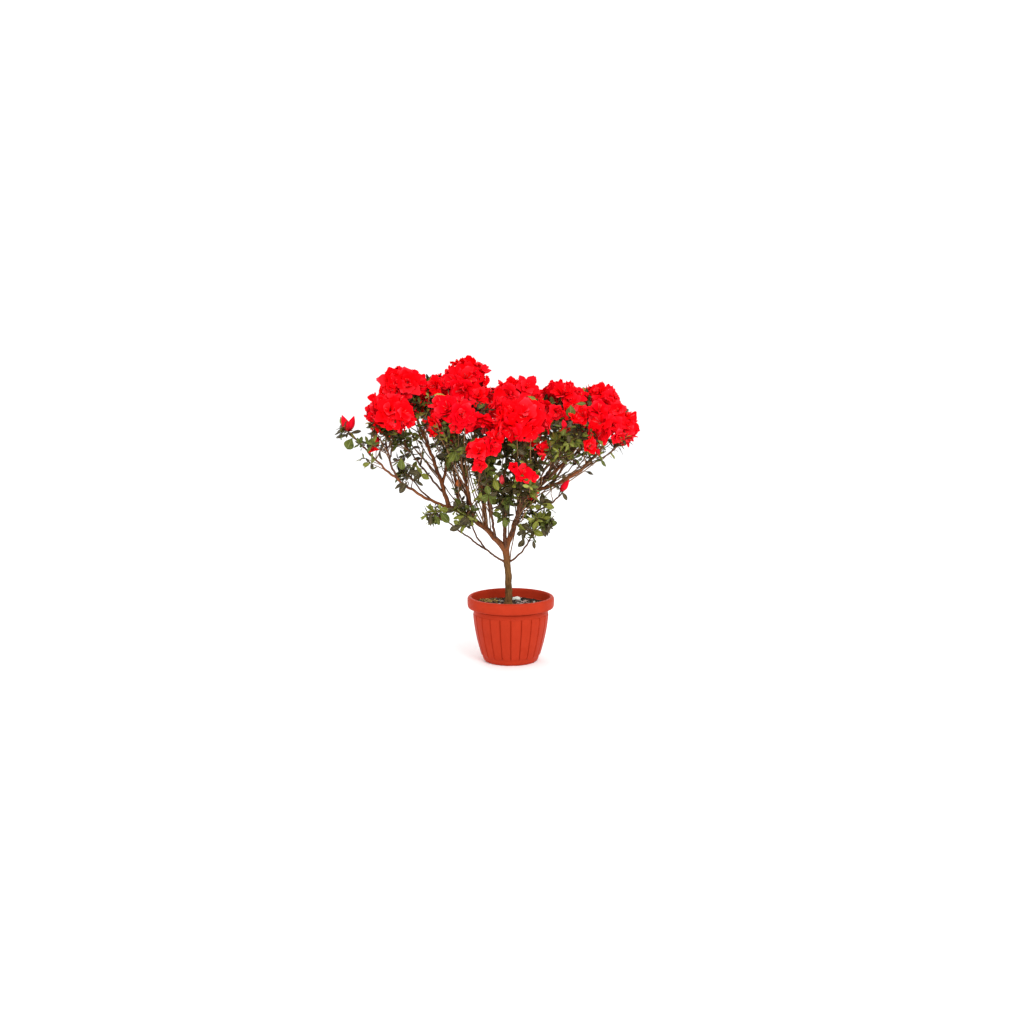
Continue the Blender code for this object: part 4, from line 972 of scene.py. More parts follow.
def make_soil_finds():
    """The pale stone beside the trunk, small stones, and thin pinkish rootlets on the surface."""
    rng = random.Random("finds")
    sheaf = Sheaf()
    add_stone(sheaf, *STONE_PLACE, (0.0094, 0.0064, 0.0044), 0, 3.0)
    for k in range(14):
        size = rng.uniform(0.0016, 0.0034)
        add_stone(sheaf, *on_soil(rng), (size * 1.2, size, size * 0.7), 1, 10.0 + k)
    for k in range(26):
        near = k < 12
        x, y = (rng.gauss(0.022, 0.009), rng.gauss(0.012, 0.010)) if near else on_soil(rng)
        length, turn = rng.uniform(0.006, 0.016), rng.uniform(-0.5, 0.9) if near else rng.uniform(0.0, 6.3)
        start = Vector((x, y, soil_height(x, y) + 0.0006))
        end = start + Vector((math.cos(turn), math.sin(turn), 0.0)) * length
        end.z = soil_height(end.x, end.y) + 0.0008
        lift = Vector((rng.uniform(-0.008, 0.008), rng.uniform(-0.006, 0.006), rng.uniform(0.002, 0.006)))
        path = bezier(start, start.lerp(end, 0.5) + lift, end, 7)
        thickness = rng.uniform(0.00024, 0.00046)
        sheaf.add(*tube(path, np.linspace(thickness, thickness * 0.5, 7), TWIG_SIDES), 2 if near else 3)
    materials = [
        speckled("pale_stone", (0.60, 0.66, 0.58), (0.84, 0.88, 0.80), 0.7, 150.0),
        speckled("grey_stone", (0.20, 0.18, 0.15), (0.42, 0.39, 0.34), 0.8, 200.0),
        speckled("pink_rootlets", (0.66, 0.38, 0.34), (0.86, 0.66, 0.60), 0.7),
        speckled("brown_rootlets", (0.10, 0.055, 0.03), (0.24, 0.15, 0.09), 0.8),
    ]
    place_piece(sheaf.make("soil_stones_and_roots", materials), "soil")


# Limbs


def bezier(start, middle, end, count):
    """Points of a curve that leaves start towards middle and reaches end from it."""
    t = np.linspace(0.0, 1.0, count)[:, None]
    return (1 - t) ** 2 * np.array(start) + 2 * t * (1 - t) * np.array(middle) + t**2 * np.array(end)


def path_frames(path):
    """Two directions across a path at each of its points, which turn without twisting."""
    along = np.gradient(path, axis=0)
    along /= np.maximum(np.linalg.norm(along, axis=-1, keepdims=True), 1e-12)
    across = np.empty_like(along)
    last = np.array(Vector(along[0]).orthogonal().normalized())
    for i, way in enumerate(along):
        last = last - way * (way @ last)
        last /= math.sqrt(last @ last)
        across[i] = last
    return across, np.cross(along, across)


def tube(path, radii, sides, relief=None):
    """A closed tube along a path, for a sheaf, with its map places round and along it in metres.

    Relief gives how far each point stands off, from the tube's angles, its lengths and its radii.
    """
    across, other = path_frames(path)
    angles = np.linspace(0.0, math.tau, sides, endpoint=False)
    lengths = lengths_along(path)
    radii = np.broadcast_to(np.asarray(radii)[:, None], (len(path), sides))
    if relief:
        radii = radii + relief(angles, lengths, radii)
    ways = across[:, None] * np.cos(angles)[None, :, None] + other[:, None] * np.sin(angles)[None, :, None]
    places = map_places(np.abs(angles - math.pi) * float(radii.mean()), lengths)
    return closed_shape(path[:, None] + ways * radii[..., None], places)


def arc_path(start, end, bow, steps):
    """Points from start to end whose middle stands off the straight line by bow."""
    return [start.lerp(end, t) + bow * (4.0 * t * (1.0 - t)) for t in np.linspace(0.0, 1.0, steps)]


def point_at(path, share):
    """The point at a share of the path's steps, and the direction there."""
    place = share * (len(path) - 1)
    i = min(int(place), len(path) - 2)
    return path[i].lerp(path[i + 1], place - i), (path[i + 1] - path[i]).normalized()


def inside_share(mass, point):
    """How far out of a mass's space a point lies: 0 at its centre, 1 on its surface."""
    return math.sqrt(sum(((point[k] - mass.centre[k]) / mass.radii[k]) ** 2 for k in range(3)))


def trunk_path():
    foot = Vector((*TRUNK_FOOT, SOIL_LEVEL + GAP))
    top = Vector((TRUNK_FOOT[0] + TRUNK_LEAN[0], TRUNK_FOOT[1] + TRUNK_LEAN[1], FORK_HEIGHT))
    return arc_path(foot, top, Vector(TRUNK_BEND), TRUNK_POINTS)


def trunk_radius(height):
    share = (height - SOIL_LEVEL) / (FORK_HEIGHT - SOIL_LEVEL)
    waist = TRUNK_RADIUS + (TRUNK_WAIST_RADIUS - TRUNK_RADIUS) * min(1.0, share / WAIST_SHARE)
    near_fork = max(0.0, (share - SWELL_SHARE) / (1.0 - SWELL_SHARE))
    flare = (FLARE_RADIUS - TRUNK_RADIUS) * max(0.0, 1.0 - (height - SOIL_LEVEL) / FLARE_HEIGHT) ** 5
    return waist + (TRUNK_FORK_RADIUS - TRUNK_WAIST_RADIUS) * near_fork + flare


def bough_course(bough, limbs):
    """A bough's own path, and the rest of its course, which the stem of its mass follows."""
    start, heading = point_at(limbs[bough.parent], bough.share)
    if bough.share == 1.0:
        start = start + heading * GAP
    bow = Vector(bough.bow)
    if bough.end not in MASSES:
        return arc_path(start, Vector(bough.end), bow, BOUGH_POINTS + 2), []
    mass = MASSES[bough.end]
    course = arc_path(start, Vector(mass.centre), bow, COURSE_POINTS)
    entry = next(i for i, p in enumerate(course) if inside_share(mass, p) < MASS_ENTRY)
    own = [point_at(course[: entry + 1], t)[0] for t in np.linspace(0.0, 1.0, BOUGH_POINTS)]
    heading = (own[-1] - own[-2]).normalized()
    return own, [own[-1] + heading * GAP] + course[entry + 2 :]


def even_path(points, step):
    """A smooth curve through the points, with its own points evenly apart."""
    points = np.array(points, float)
    padded = np.concatenate((2 * points[:1] - points[1:2], points, 2 * points[-1:] - points[-2:-1]))
    t = np.linspace(0.0, 1.0, 12, endpoint=False)[:, None]
    curve = []
    for a, b, c, d in zip(padded, padded[1:], padded[2:], padded[3:]):
        square, cube = 2 * a - 5 * b + 4 * c - d, 3 * b - a - 3 * c + d
        curve.append(0.5 * (2 * b + (c - a) * t + square * t**2 + cube * t**3))
    curve = np.concatenate(curve + [points[-1:]])
    lengths = lengths_along(curve)
    places = np.linspace(0.0, lengths[-1], max(6, round(lengths[-1] / step)))
    return np.stack([np.interp(places, lengths, curve[:, k]) for k in range(3)], axis=-1)


def wander(path, amount, seed):
    """The path with a slight, slow sway, least at its two ends."""
    rng = random.Random(f"{seed} wander")
    lengths = lengths_along(path)
    share = lengths / lengths[-1]
    hold = np.sin(np.pi * np.clip(share, 0.0, 1.0)) ** 0.5 * np.clip(lengths / 0.012, 0.0, 1.0)
    sway = np.zeros_like(path)
    for wave, size in ((0.046, 1.0), (0.021, 0.55), (0.011, 0.25)):
        for k in range(3):
            sway[:, k] += size * np.sin(math.tau * (lengths / wave + rng.uniform(0.0, 1.0)))
    return path + sway * (amount * hold[:, None])


def bark_relief(seed, depth, knots):
    """Relief of bark: fibres along the limb, finer cracks across, and rounded knots."""

    def relief(angles, lengths, radii):
        stand = np.zeros((len(lengths), len(angles)))
        for i, k in np.ndindex(*stand.shape):
            turn = Vector((math.cos(angles[k]), math.sin(angles[k]), 0.0)) * float(radii[i, k]) * 420.0
            fibre = noise.noise(turn + Vector((seed, 0.0, lengths[i] * 70.0)))
            crack = noise.noise(turn * 2.3 + Vector((0.0, seed, lengths[i] * 330.0)))
            stand[i, k] = depth * (0.9 * fibre + 0.45 * crack)
        for place, turn, size, height in knots:
            off = np.abs((angles - turn + math.pi) % math.tau - math.pi)[None, :] * radii
            far = np.sqrt(off**2 + (lengths[:, None] - place) ** 2) / size
            stand += height * np.exp(-(far**2)) - 0.35 * height * np.exp(-((far * 2.6) ** 2))
        return stand

    return relief


def limb_knots(seed, length, radius, count):
    """Scars of old twigs: how far along, at which angle, how wide and how high."""
    rng = random.Random(f"{seed} knots")
    knots = []
    for _ in range(count):
        place, turn = rng.uniform(0.04, 0.96) * length, any_turn(rng)
        knots.append((place, turn, radius * 0.55, radius * rng.uniform(0.10, 0.26)))
    return knots


def make_trunk():
    """The trunk, sunk a little in the soil, with a closed top under the fork."""
    path = even_path([Vector((*TRUNK_FOOT, SOIL_LEVEL - 0.006))] + trunk_path(), TRUNK_STEP)
    path = wander(path, 0.0004, "trunk")
    heights = path[:, 2]
    rise = np.clip((heights - SOIL_LEVEL) / (FORK_HEIGHT - SOIL_LEVEL), 0.0, 1.0)
    path[:, 0] += TRUNK_SWAY * np.sin(math.pi * rise)
    radii = np.array([trunk_radius(max(z, SOIL_LEVEL)) for z in heights])
    top = np.clip((heights[-1] - heights) / 0.006, 0.0, 1.0)
    radii *= np.sqrt(1.0 - (1.0 - top) ** 2 * 0.98)
    knots = TRUNK_KNOTS + limb_knots("trunk", 0.12, TRUNK_RADIUS, 7)
    sheaf = Sheaf()
    sheaf.add(*tube(path, radii, TRUNK_SIDES, bark_relief(2.0, TRUNK_RELIEF, knots)))
    material = bark("trunk_bark_detail", *TRUNK_TONES, TRUNK_REDDENING)
    place_piece(sheaf.make("trunk_bark_skin", [material]), "trunk_bark", "trunk")


def make_boughs():
    """Every bough with its bark, run on through its mass as the mass's stem. Courses and stems are noted."""
    limbs = {"trunk": trunk_path()}
    COURSES["trunk"] = even_path(limbs["trunk"], BOUGH_STEP)
    sheaf = Sheaf()
    for number, bough in enumerate(BOUGHS):
        own, rest = bough_course(bough, limbs)
        limbs[bough.name] = own
        if rest:
            STEMS[bough.end] = [point_at(rest, t)[0] for t in np.linspace(0.0, 1.0, STEM_POINTS)]
        path = wander(even_path(own + rest[1::6] + rest[-1:], BOUGH_STEP), BOUGH_WANDER, bough.name)
        COURSES[bough.name] = path
        lengths = lengths_along(path)
        own_length = sum((b - a).length for a, b in zip(own, own[1:]))
        radii = np.interp(lengths, (0.0, own_length), (bough.radius, bough.tip_radius))
        if rest:
            inside = np.clip((lengths - own_length) / max(lengths[-1] - own_length, 1e-6), 0.0, 1.0)
            radii += (STEM_END_RADIUS - bough.tip_radius) * inside
        radii *= 1.0 + 0.30 * np.exp(-lengths / (bough.radius * 2.2))
        radii[-3:] *= (0.95, 0.80, 0.45)
        knots = limb_knots(bough.name, lengths[-1], bough.radius, max(2, round(lengths[-1] / 0.022)))
        relief = bark_relief(10.0 + 3.0 * number, BOUGH_RELIEF * bough.radius / 0.004, knots)
        sheaf.add(*tube(path, radii, BOUGH_SIDES, relief), int(bough.radius <= THIN_BOUGH))
    materials = [bark("bough_bark_detail", *BOUGH_TONES), bark("thin_bough_bark", *THIN_BOUGH_TONES)]
    nodes = [bough.name + "_bough" for bough in BOUGHS]
    place_piece(sheaf.make("bough_bark_skin", materials), "bough_bark", *nodes)


# Leaves, blooms and buds, each in a frame of its own: X across, Y along, Z up


def surface_grid(rows, columns):
    along, across = np.meshgrid(np.linspace(0.0, 1.0, rows), np.linspace(-1.0, 1.0, columns), indexing="ij")
    places = np.stack((across / 2.0 + 0.5, along), axis=-1).reshape(-1, 2)
    return along, across, grid_faces(rows, columns), places


LEAF_GRID = surface_grid(8, 3)
OUTER_GRID = surface_grid(10, 9)
INNER_GRID = surface_grid(7, 7)
SMALL_GRID = surface_grid(6, 5)


def oriented(points, root, heading, normal):
    """Points of a shape's own frame, set at root with Y along heading and Z near normal."""
    heading = np.array(heading) / np.linalg.norm(heading)
    across = np.cross(heading, np.array(normal))
    across /= max(np.linalg.norm(across), 1e-9)
    return points @ np.stack((across, heading, np.cross(across, heading))) + np.array(root)


def oriented_axis(points, base, axis):
    """Points of a shape whose Z runs along axis."""
    axis = Vector(axis).normalized()
    across = axis.orthogonal().normalized()
    return points @ np.array((across, axis.cross(across), axis)) + np.array(base)


def spin_about_z(points, angle):
    x, y, z = points.T
    c, s = math.cos(angle), math.sin(angle)
    return np.stack((x * c - y * s, x * s + y * c, z), axis=-1)


def leaf_blade(length, width, droop, fold, rng):
    """An elliptic leaf on its stalk, folded along its midrib and drooping to its tip."""
    along, across, faces, places = LEAF_GRID
    blade = np.clip((along - 0.07) / 0.93, 0.0, 1.0)
    half = 0.5 * width * np.sin(math.pi * blade**1.12) ** 0.78 + 0.00035 - 0.00022 * along
    bend = droop * along[:, 0] ** 1.4
    step = length / (len(bend) - 1)
    forward, drop = (np.concatenate(([0.0], np.cumsum(way(bend[1:])))) * step for way in (np.cos, np.sin))
    wave = 0.05 * width * np.sin(math.tau * (along * 1.6 + rng.random())) * across
    lift = np.abs(across) * half * math.sin(fold) - 0.25 * half * across**2 + wave
    ways = (across * half * math.cos(fold), forward[:, None] + 0.0 * across, lift - drop[:, None])
    return np.stack(ways, axis=-1).reshape(-1, 3), faces, places


def add_leaf(root, heading, normal, length, rng, tint, breadth=1.0):
    if tint == "lance":
        tint, breadth = "dark", breadth * LANCE_BREADTH
    width = LIFE_LEAF_WIDTH * (length / LIFE_LEAF_LENGTH) * rng.uniform(0.60, 1.15) * breadth
    if rng.random() < STRAY_SHARE:
        tint = STRAY_TINT[tint]
    points, faces, places = leaf_blade(length, width, rng.uniform(0.10, 0.75), rng.uniform(0.20, 0.50), rng)
    roll = Quaternion(Vector(heading), rng.gauss(0.0, 0.30))
    LEAVES[tint].add(oriented(points, root, heading, roll @ Vector(normal)), faces, places)


def petal(ring, radius, openness, rng):
    """One petal that leans out along +X: narrow where it leaves the tube, broad and round at its rim."""
    along, across, faces, places = ring.grid
    reach = ring.reach * radius * rng.uniform(0.80, 1.12) * (0.25 + 0.75 * openness)
    rise = ring.rise * radius * rng.uniform(0.90, 1.08) * (1.30 - 0.30 * openness)
    width = ring.width * radius * rng.uniform(0.88, 1.10) * (0.45 + 0.55 * openness)
    swelling = 0.16 + 0.84 * np.sin(0.5 * math.pi * np.minimum(1.0, along / PETAL_BROAD)) ** 1.2
    half = width * swelling * np.sqrt(1.0 - (np.maximum(0.0, along - PETAL_BROAD) / 0.42) ** 2)
    notch = rng.uniform(0.0, 0.08) * np.exp(-((across / 0.22) ** 2))
    length = 1.0 - (0.24 * across**2 + notch) * along**2
    out = reach * (0.05 + 0.95 * along**1.15 * length)
    phase, beats = any_turn(rng), rng.uniform(1.2, 2.8)
    waves = np.sin(beats * math.pi * across + phase) * along**2.2
    cross_waves = np.sin(2.3 * math.pi * along + 2.0 * across + phase * 1.7) * along
    curl = rng.uniform(-0.04, 0.22) * reach * along**5
    up = rise * (1.0 - (1.0 - along) ** 2.1) - curl
    up = up + reach * (ring.cup * across**2 * along + ring.ruffle * waves + 0.35 * ring.ruffle * cross_waves)
    lateral = across * half + 0.25 * ring.ruffle * reach * np.cos(beats * math.pi * across + phase) * along**2
    up = up + lateral * (0.06 + rng.gauss(0.0, ring.roll))
    return np.stack((out, lateral, up), axis=-1).reshape(-1, 3), faces, places


# How many petals each ring of an open bloom has, on which grid, and its reach, rise, width, cup and ruffle as
# shares of the bloom's radius, with how far its petals roll. Inner rings stand up in the middle.
PetalRing = namedtuple("PetalRing", "count grid reach rise width cup ruffle roll")

PETAL_RINGS = (
    PetalRing(5, OUTER_GRID, 1.06, 0.66, 0.41, -0.05, 0.055, 0.22),
    PetalRing(5, INNER_GRID, 0.78, 0.78, 0.36, 0.02, 0.080, 0.34),
    PetalRing(4, INNER_GRID, 0.50, 0.88, 0.30, 0.08, 0.110, 0.50),
    PetalRing(3, SMALL_GRID, 0.30, 0.90, 0.22, 0.12, 0.140, 0.60),
)


def add_bloom(base, axis, radius, turn, rng, red, openness=1.0):
    """A double or, now and then, a simpler flower whose petals reach its radius, with its stamens."""
    for ring_number, ring in enumerate(PETAL_RINGS[: rng.choice((2, 3, 3, 4))]):
        for k in range(ring.count):
            points, faces, places = petal(ring, radius, openness, rng)
            points[:, 2] += 0.016 * radius * (k % 2 + ring_number)
            angle = turn + math.tau * (k + 0.5 * (ring_number % 2)) / ring.count
            angle += rng.gauss(0.0, 0.11 + 0.12 * ring_number)
            # Some petals take a lighter, pinker red as a painted highlight. Inner rings take a darker finish
            # as painted shade.
            slot = PAINTED_HIGHLIGHT_SLOT if rng.random() < PAINTED_HIGHLIGHT_SHARE else min(ring_number, 1)
            BLOOMS[red].add(oriented_axis(spin_about_z(points, angle), base, axis), faces, places, slot)
    for _ in range(4):
        add_stamen(BLOOMS[red], base, axis, radius, rng)


def add_stamen(sheaf, base, axis, radius, rng):
    """A thin curved thread with a small swollen end."""
    turn, lean = any_turn(rng), rng.uniform(0.10, 0.32)
    tip = np.array((math.cos(turn) * lean, math.sin(turn) * lean, rng.uniform(0.92, 1.12))) * radius
    path = bezier((0.0, 0.0, 0.10 * radius), tip * (0.25, 0.25, 0.60), tip, 6)
    thread = radius * np.array((0.010, 0.009, 0.009, 0.009, 0.026, 0.014))
    points, faces, places = tube(path, thread, 4)
    sheaf.add(oriented_axis(points, base, axis), faces, places, 2)


def add_bud(base, axis, length, rng, fatness=0.23, tone=0):
    """A pointed bud: petals wound round each other, over five green scales."""
    along = np.linspace(0.0, 1.0, BUD_GRID[0])[:, None]
    angles = np.linspace(0.0, math.tau, BUD_GRID[1], endpoint=False)
    belly = np.sin(math.pi * np.clip(along, 0.02, 0.985) ** 0.72) ** 0.85
    spiral = 1.0 + 0.10 * np.sin(3.0 * angles + 5.0 * along + rng.uniform(0.0, 6.3)) * np.sqrt(along)
    shape = ring_points(fatness * length * belly * spiral, angles, along * length)
    points, faces, places = closed_shape(shape, map_places(np.abs(angles / math.pi - 1.0), along[:, 0]))
    BUDS.add(oriented_axis(points, base, axis), faces, places, tone)
    for k in range(5):
        blade, faces, places = leaf_blade(length * 0.36, length * 0.17, -0.5, 0.2, rng)
        lean = np.array((0.0, math.sin(0.55), math.cos(0.55)))
        scale = oriented(blade, (0.0, 0.0, 0.0), lean, (0.0, 0.6, -0.5))
        BUDS.add(oriented_axis(spin_about_z(scale, math.tau * k / 5.0), base, axis), faces, places, 1)


# The solids' own shoots


def facing_out(mass):
    """The way a mass faces: out of the crown, and a little up."""
    return (Vector(mass.centre) - CROWN_HEART).normalized() + UP * 0.45


def spread_directions(count, start, facing):
    """Directions spread evenly all round, those nearest to facing first."""
    directions = []
    for i in range(count):
        height = 1.0 - 2.0 * (i + 0.5) / count
        level = math.sqrt(1.0 - height * height)
        turn = start + i * GOLDEN_TURN
        directions.append(Vector((level * math.cos(turn), level * math.sin(turn), height)))
    return sorted(directions, key=lambda d: -d.dot(facing))


def surface_distance(mass, direction):
    """From the mass's centre to its surface, along a direction."""
    return 1.0 / math.sqrt(sum((direction[k] / mass.radii[k]) ** 2 for k in range(3)))


def frame_about(axis, turn):
    """Two directions across an axis, turned about it."""
    across = Quaternion(axis, turn) @ axis.orthogonal().normalized()
    return across, axis.cross(across)


def bloom_plan(mass, direction, size, rng):
    """Where the solids' rule puts a bloom: its base, axis and radius, and a corner that its solid has."""
    reach = surface_distance(mass, direction)
    radius = min(BLOOM_RADIUS * rng.uniform(0.94, 1.06) * size, BLOOM_REACH * reach)
    face = math.sqrt(reach * reach - radius * radius)
    base = Vector(mass.centre) + direction * (face - BLOOM_DEPTH * radius)
    corner = base + direction * (0.98 * BLOOM_DEPTH * radius)
    return {"base": base, "axis": direction, "radius": radius, "corner": corner}


def leafy_plan(mass, direction, size, rng, bud_length):
    """Where the solids' rule puts a whorl of leaves: its tip, its leaves' headings and lengths, a corner."""
    reach = surface_distance(mass, direction)
    axis = (direction + UP * 0.3).normalized()
    length = min(LEAF_LENGTH, LEAF_REACH * reach) * size
    tip = Vector(mass.centre) + direction * (TIP_REACH * reach - max(0.80 * length, bud_length))
    across, other = frame_about(axis, any_turn(rng))
    leaves = []
    for k in range(WHORL_LEAVES):
        lean = math.radians(rng.uniform(*(RAISED_LEAN if k % 2 else SPREAD_LEAN)))
        angle = math.tau * (k + 0.5) / WHORL_LEAVES
        side = across * math.cos(angle) + other * math.sin(angle)
        leaves.append((side * math.sin(lean) + axis * math.cos(lean), length * rng.uniform(0.84, 1.10)))
    plan = {"base": tip, "axis": axis, "leaves": leaves, "length": length, "bud": bud_length}
    return {**plan, "corner": tip + axis * (bud_length or HUB_HEIGHT)}


def solid_shoots(mass, stem):
    """The shoots that the mass's solid has, found by a corner that each leaves in it."""
    vertices = frame["nodes"][mass.name].data.vertices
    tree = KDTree(len(vertices))
    for vertex in vertices:
        tree.insert(vertex.co, vertex.index)
    tree.balance()
    directions = spread_directions(DIRECTIONS, any_turn(random.Random(mass.name)), facing_out(mass))
    for kind, wanted in (("bloom", mass.blooms), ("bud", mass.buds), ("spray", mass.sprays)):
        for place, direction in enumerate(directions):
            for size in SIZES if wanted else ():
                rng = random.Random(f"{mass.name} {kind} {place}")
                root = on_stem(stem, rng, *ROOT_SHARES[kind])
                if kind == "bloom":
                    plan = bloom_plan(mass, direction, size, rng)
                else:
                    plan = leafy_plan(mass, direction, size, rng, BUD_LENGTH * size * (kind == "bud"))
                if tree.find(plan["corner"])[2] < GAP:
                    yield {"kind": kind, "root": root, "rng": rng, **plan}
                    wanted -= 1
                    break


# Twigs and what they carry


def on_stem(stem, rng, low, high):
    """A random point of a stem between two shares of its length."""
    return point_at(stem, rng.uniform(low, high))[0]


def on_twig(path, share):
    """The point at a share of a twig's steps, and the direction there."""
    place = share * (len(path) - 1)
    i = min(int(place), len(path) - 2)
    step = path[i + 1] - path[i]
    return path[i] + step * (place - i), Vector(step).normalized()


def deal_tint(mass, rng):
    return rng.choices(KINDS, LEAF_MIX[MASS_MIX.get(mass.name.removesuffix("_mass"), "crown")])[0]


def add_twig(start, end, arrive, radius=TWIG_RADIUS, tip_radius=TWIG_TIP_RADIUS, bend=0.42, slot=0):
    """A twig that curves from start and reaches end along a direction. It returns its path."""
    span = (end - start).length
    path = bezier(start, end - arrive * (bend * span), end, TWIG_STATIONS)
    waves = np.sin(np.arange(TWIG_STATIONS) * 2.4 + 90.0 * end.x)
    sway = np.sin(np.linspace(0.0, math.pi, TWIG_STATIONS)) * waves
    path += np.stack((sway, np.roll(sway, 2), np.roll(sway, 4) * 0.5), axis=-1) * min(0.0048, 0.03 * span)
    TWIGS.add(*tube(path, np.linspace(radius, tip_radius, TWIG_STATIONS), TWIG_SIDES), slot)
    return path


def add_whorl(tip, axis, count, length, rng, tint, leans=END_LEANS):
    """Leaves round a twig's end, alternately spread and raised."""
    across, other = frame_about(axis, any_turn(rng))
    raised, spread = (leans[0], leans[0] + LEAN_SPAN), (leans[1] - LEAN_SPAN, leans[1])
    for k in range(count):
        lean = math.radians(rng.uniform(*(raised if k % 2 else spread)))
        angle = math.tau * k / count + rng.gauss(0.0, 0.18)
        side = across * math.cos(angle) + other * math.sin(angle)
        heading = side * math.sin(lean) + axis * math.cos(lean)
        root = tip - axis * rng.uniform(0.0, 0.0030)
        add_leaf(root, heading, axis, length * rng.uniform(0.72, 1.12), rng, tint)


def add_stem_leaves(path, count, length, rng, tint, start=0.35, end=0.97):
    """Leaves set singly along a twig, each a golden turn on from the last."""
    turn = any_turn(rng)
    for k in range(count):
        root, along = on_twig(path, start + (end - start) * (k + rng.uniform(0.2, 0.8)) / count)
        across, _ = frame_about(along, turn + k * GOLDEN_TURN)
        lean = math.radians(rng.uniform(48.0, 76.0))
        heading = across * math.sin(lean) + along * math.cos(lean)
        add_leaf(root, heading, along + UP * 0.5, length * rng.uniform(0.6, 1.0), rng, tint)


def add_side_sprays(mass, path, count, rng, tint):
    """Short side twigs with small whorls, kept inside the mass's space."""
    for _ in range(count):
        start, along = on_twig(path, rng.uniform(0.30, 0.80))
        across, _ = frame_about(along, any_turn(rng))
        heading = (along * 0.75 + across * rng.uniform(0.6, 1.1) + UP * 0.15).normalized()
        tip = Vector(start) + heading * rng.uniform(0.012, 0.026)
        length = LIFE_LEAF_LENGTH * 0.78 * rng.uniform(0.8, 1.1)
        if inside_share(mass, tip + heading * length * 0.5) > 1.0:
            continue
        add_twig(Vector(start), tip, heading, TWIG_RADIUS * 0.8, TWIG_TIP_RADIUS * 0.9, slot=1)
        add_whorl(tip, heading, rng.randint(4, 6), length, rng, tint)


def dress_bloom(mass, shoot):
    """A bloom that nods off its shoot's axis, its face where it was, with a few leaves round its foot."""
    rng, depth = shoot["rng"], BLOOM_DEPTH * shoot["radius"]
    face = shoot["base"] + shoot["axis"] * depth
    across, _ = frame_about(shoot["axis"], any_turn(rng))
    axis = (shoot["axis"] + across * rng.uniform(0.0, shoot.get("nod", SOLID_NOD))).normalized()
    base, turn = face - axis * depth, any_turn(rng)
    path = add_twig(shoot["root"], base, axis, tip_radius=TWIG_TIP_RADIUS * 1.3)
    add_bloom(base, axis, shoot["radius"], turn, rng, rng.choices(REDS, RED_MIX)[0])
    tint = deal_tint(mass, rng)
    add_whorl(base - axis * 0.004, axis, rng.randint(0, 2), LIFE_LEAF_LENGTH * 0.72, rng, tint, FOOT_LEANS)
    add_stem_leaves(path, 3, LIFE_LEAF_LENGTH * 0.8, rng, tint, end=0.75)


def dress_spray(mass, shoot):
    """A whorl of leaves with a bud or smaller leaves in its heart, leaves along its twig and a side spray."""
    rng, tip, axis = shoot["rng"], shoot["base"], shoot["axis"]
    tint = deal_tint(mass, rng)
    path = add_twig(shoot["root"], tip, axis)
    for heading, length in shoot["leaves"]:
        add_leaf(tip, heading, axis, length * 0.90, rng, tint)
    if shoot["bud"]:
        add_bud(tip, axis, shoot["bud"], rng)
    else:
        add_whorl(tip, axis, 2, shoot["length"] * 0.55, rng, tint, HEART_LEANS)
    add_stem_leaves(path, rng.randint(1, 2), shoot["length"] * 0.75, rng, tint)
    add_side_sprays(mass, path, 1, rng, tint)


def dress_leafy(mass, shoot, rng):
    """A whorl of leaves and side sprays on a shoot whose flower has not opened."""
    tint = deal_tint(mass, rng)
    path = add_twig(shoot["root"], shoot["base"], shoot["axis"])
    add_whorl(shoot["base"], shoot["axis"], 4, LIFE_LEAF_LENGTH * 0.8, rng, tint)
    add_side_sprays(mass, path, 2, rng, tint)


# Where flowers may stand


def within(places, point):
    """Whether the photograph sees a point inside one of the places on the upright plane through the trunk."""
    share = -CAMERA_PLACE[1] / (point.y - CAMERA_PLACE[1])
    x, z = (CAMERA_PLACE[k] + (point[k] - CAMERA_PLACE[k]) * share for k in (0, 2))
    return any(math.hypot(x - place[0], z - place[1]) < place[2] for place in places)


def leafy_place(point):
    return point.y < LEAFY_FRONT and within(LEAFY_PLACES, point)


def crowded(centre, radius, share):
    """Whether a flower's face would lie too close to one that is there already."""
    return any((centre - spot).length < share * (radius + size) for spot, size in FACES)


def has_room(centre, radius):
    return not (within(SKY_PLACES, centre) or leafy_place(centre) or crowded(centre, radius, FILL_ROOM))


def flower(name, roots, centre, axis, radius, rng, nod):
    """A shoot from a mass's stem to a flower whose face is at centre, a place that is then taken."""
    FACES.append((centre, radius))
    root = on_stem(STEMS[name], rng, *roots)
    base = centre - axis * BLOOM_DEPTH * radius
    return {"root": root, "base": base, "axis": axis, "radius": radius, "rng": rng, "nod": nod}


# Growth


def grow_front_blooms(name, mass):
    """The flowers of a mass that the photograph shows most clearly."""
    for x, y, z, radius in FRONT_BLOOMS.get(name, ()):
        centre = Vector((x, y, z))
        axis = ((centre - Vector(mass.centre)).normalized() + Vector((0.0, -0.45, 0.0))).normalized()
        rng = random.Random(f"front {(x, y, z)}")
        dress_bloom(mass, flower(name, (0.5, 0.9), centre, axis, radius, rng, FRONT_NOD))


def grow_solid_shoots(name, mass, rng):
    """The shoots that the solid has, but for those listed one by one. In a leafy place a flower stays closed.
    """
    for shoot in solid_shoots(mass, STEMS[name]):
        centre = shoot["base"] + shoot["axis"] * BLOOM_DEPTH * shoot.get("radius", 0.0)
        if shoot["kind"] in BY_HAND.get(name, ()):
            continue
        if shoot["kind"] != "bloom":
            if not mass.blooms or not crowded(centre, *SHOOT_ROOM):
                dress_spray(mass, shoot)
        elif leafy_place(centre):
            if not crowded(centre, *CLOSED_ROOM):
                dress_leafy(mass, shoot, rng)
        elif not within(SKY_PLACES, centre) and not crowded(centre, shoot["radius"], SOLID_ROOM):
            FACES.append((centre, shoot["radius"]))
            dress_bloom(mass, shoot)


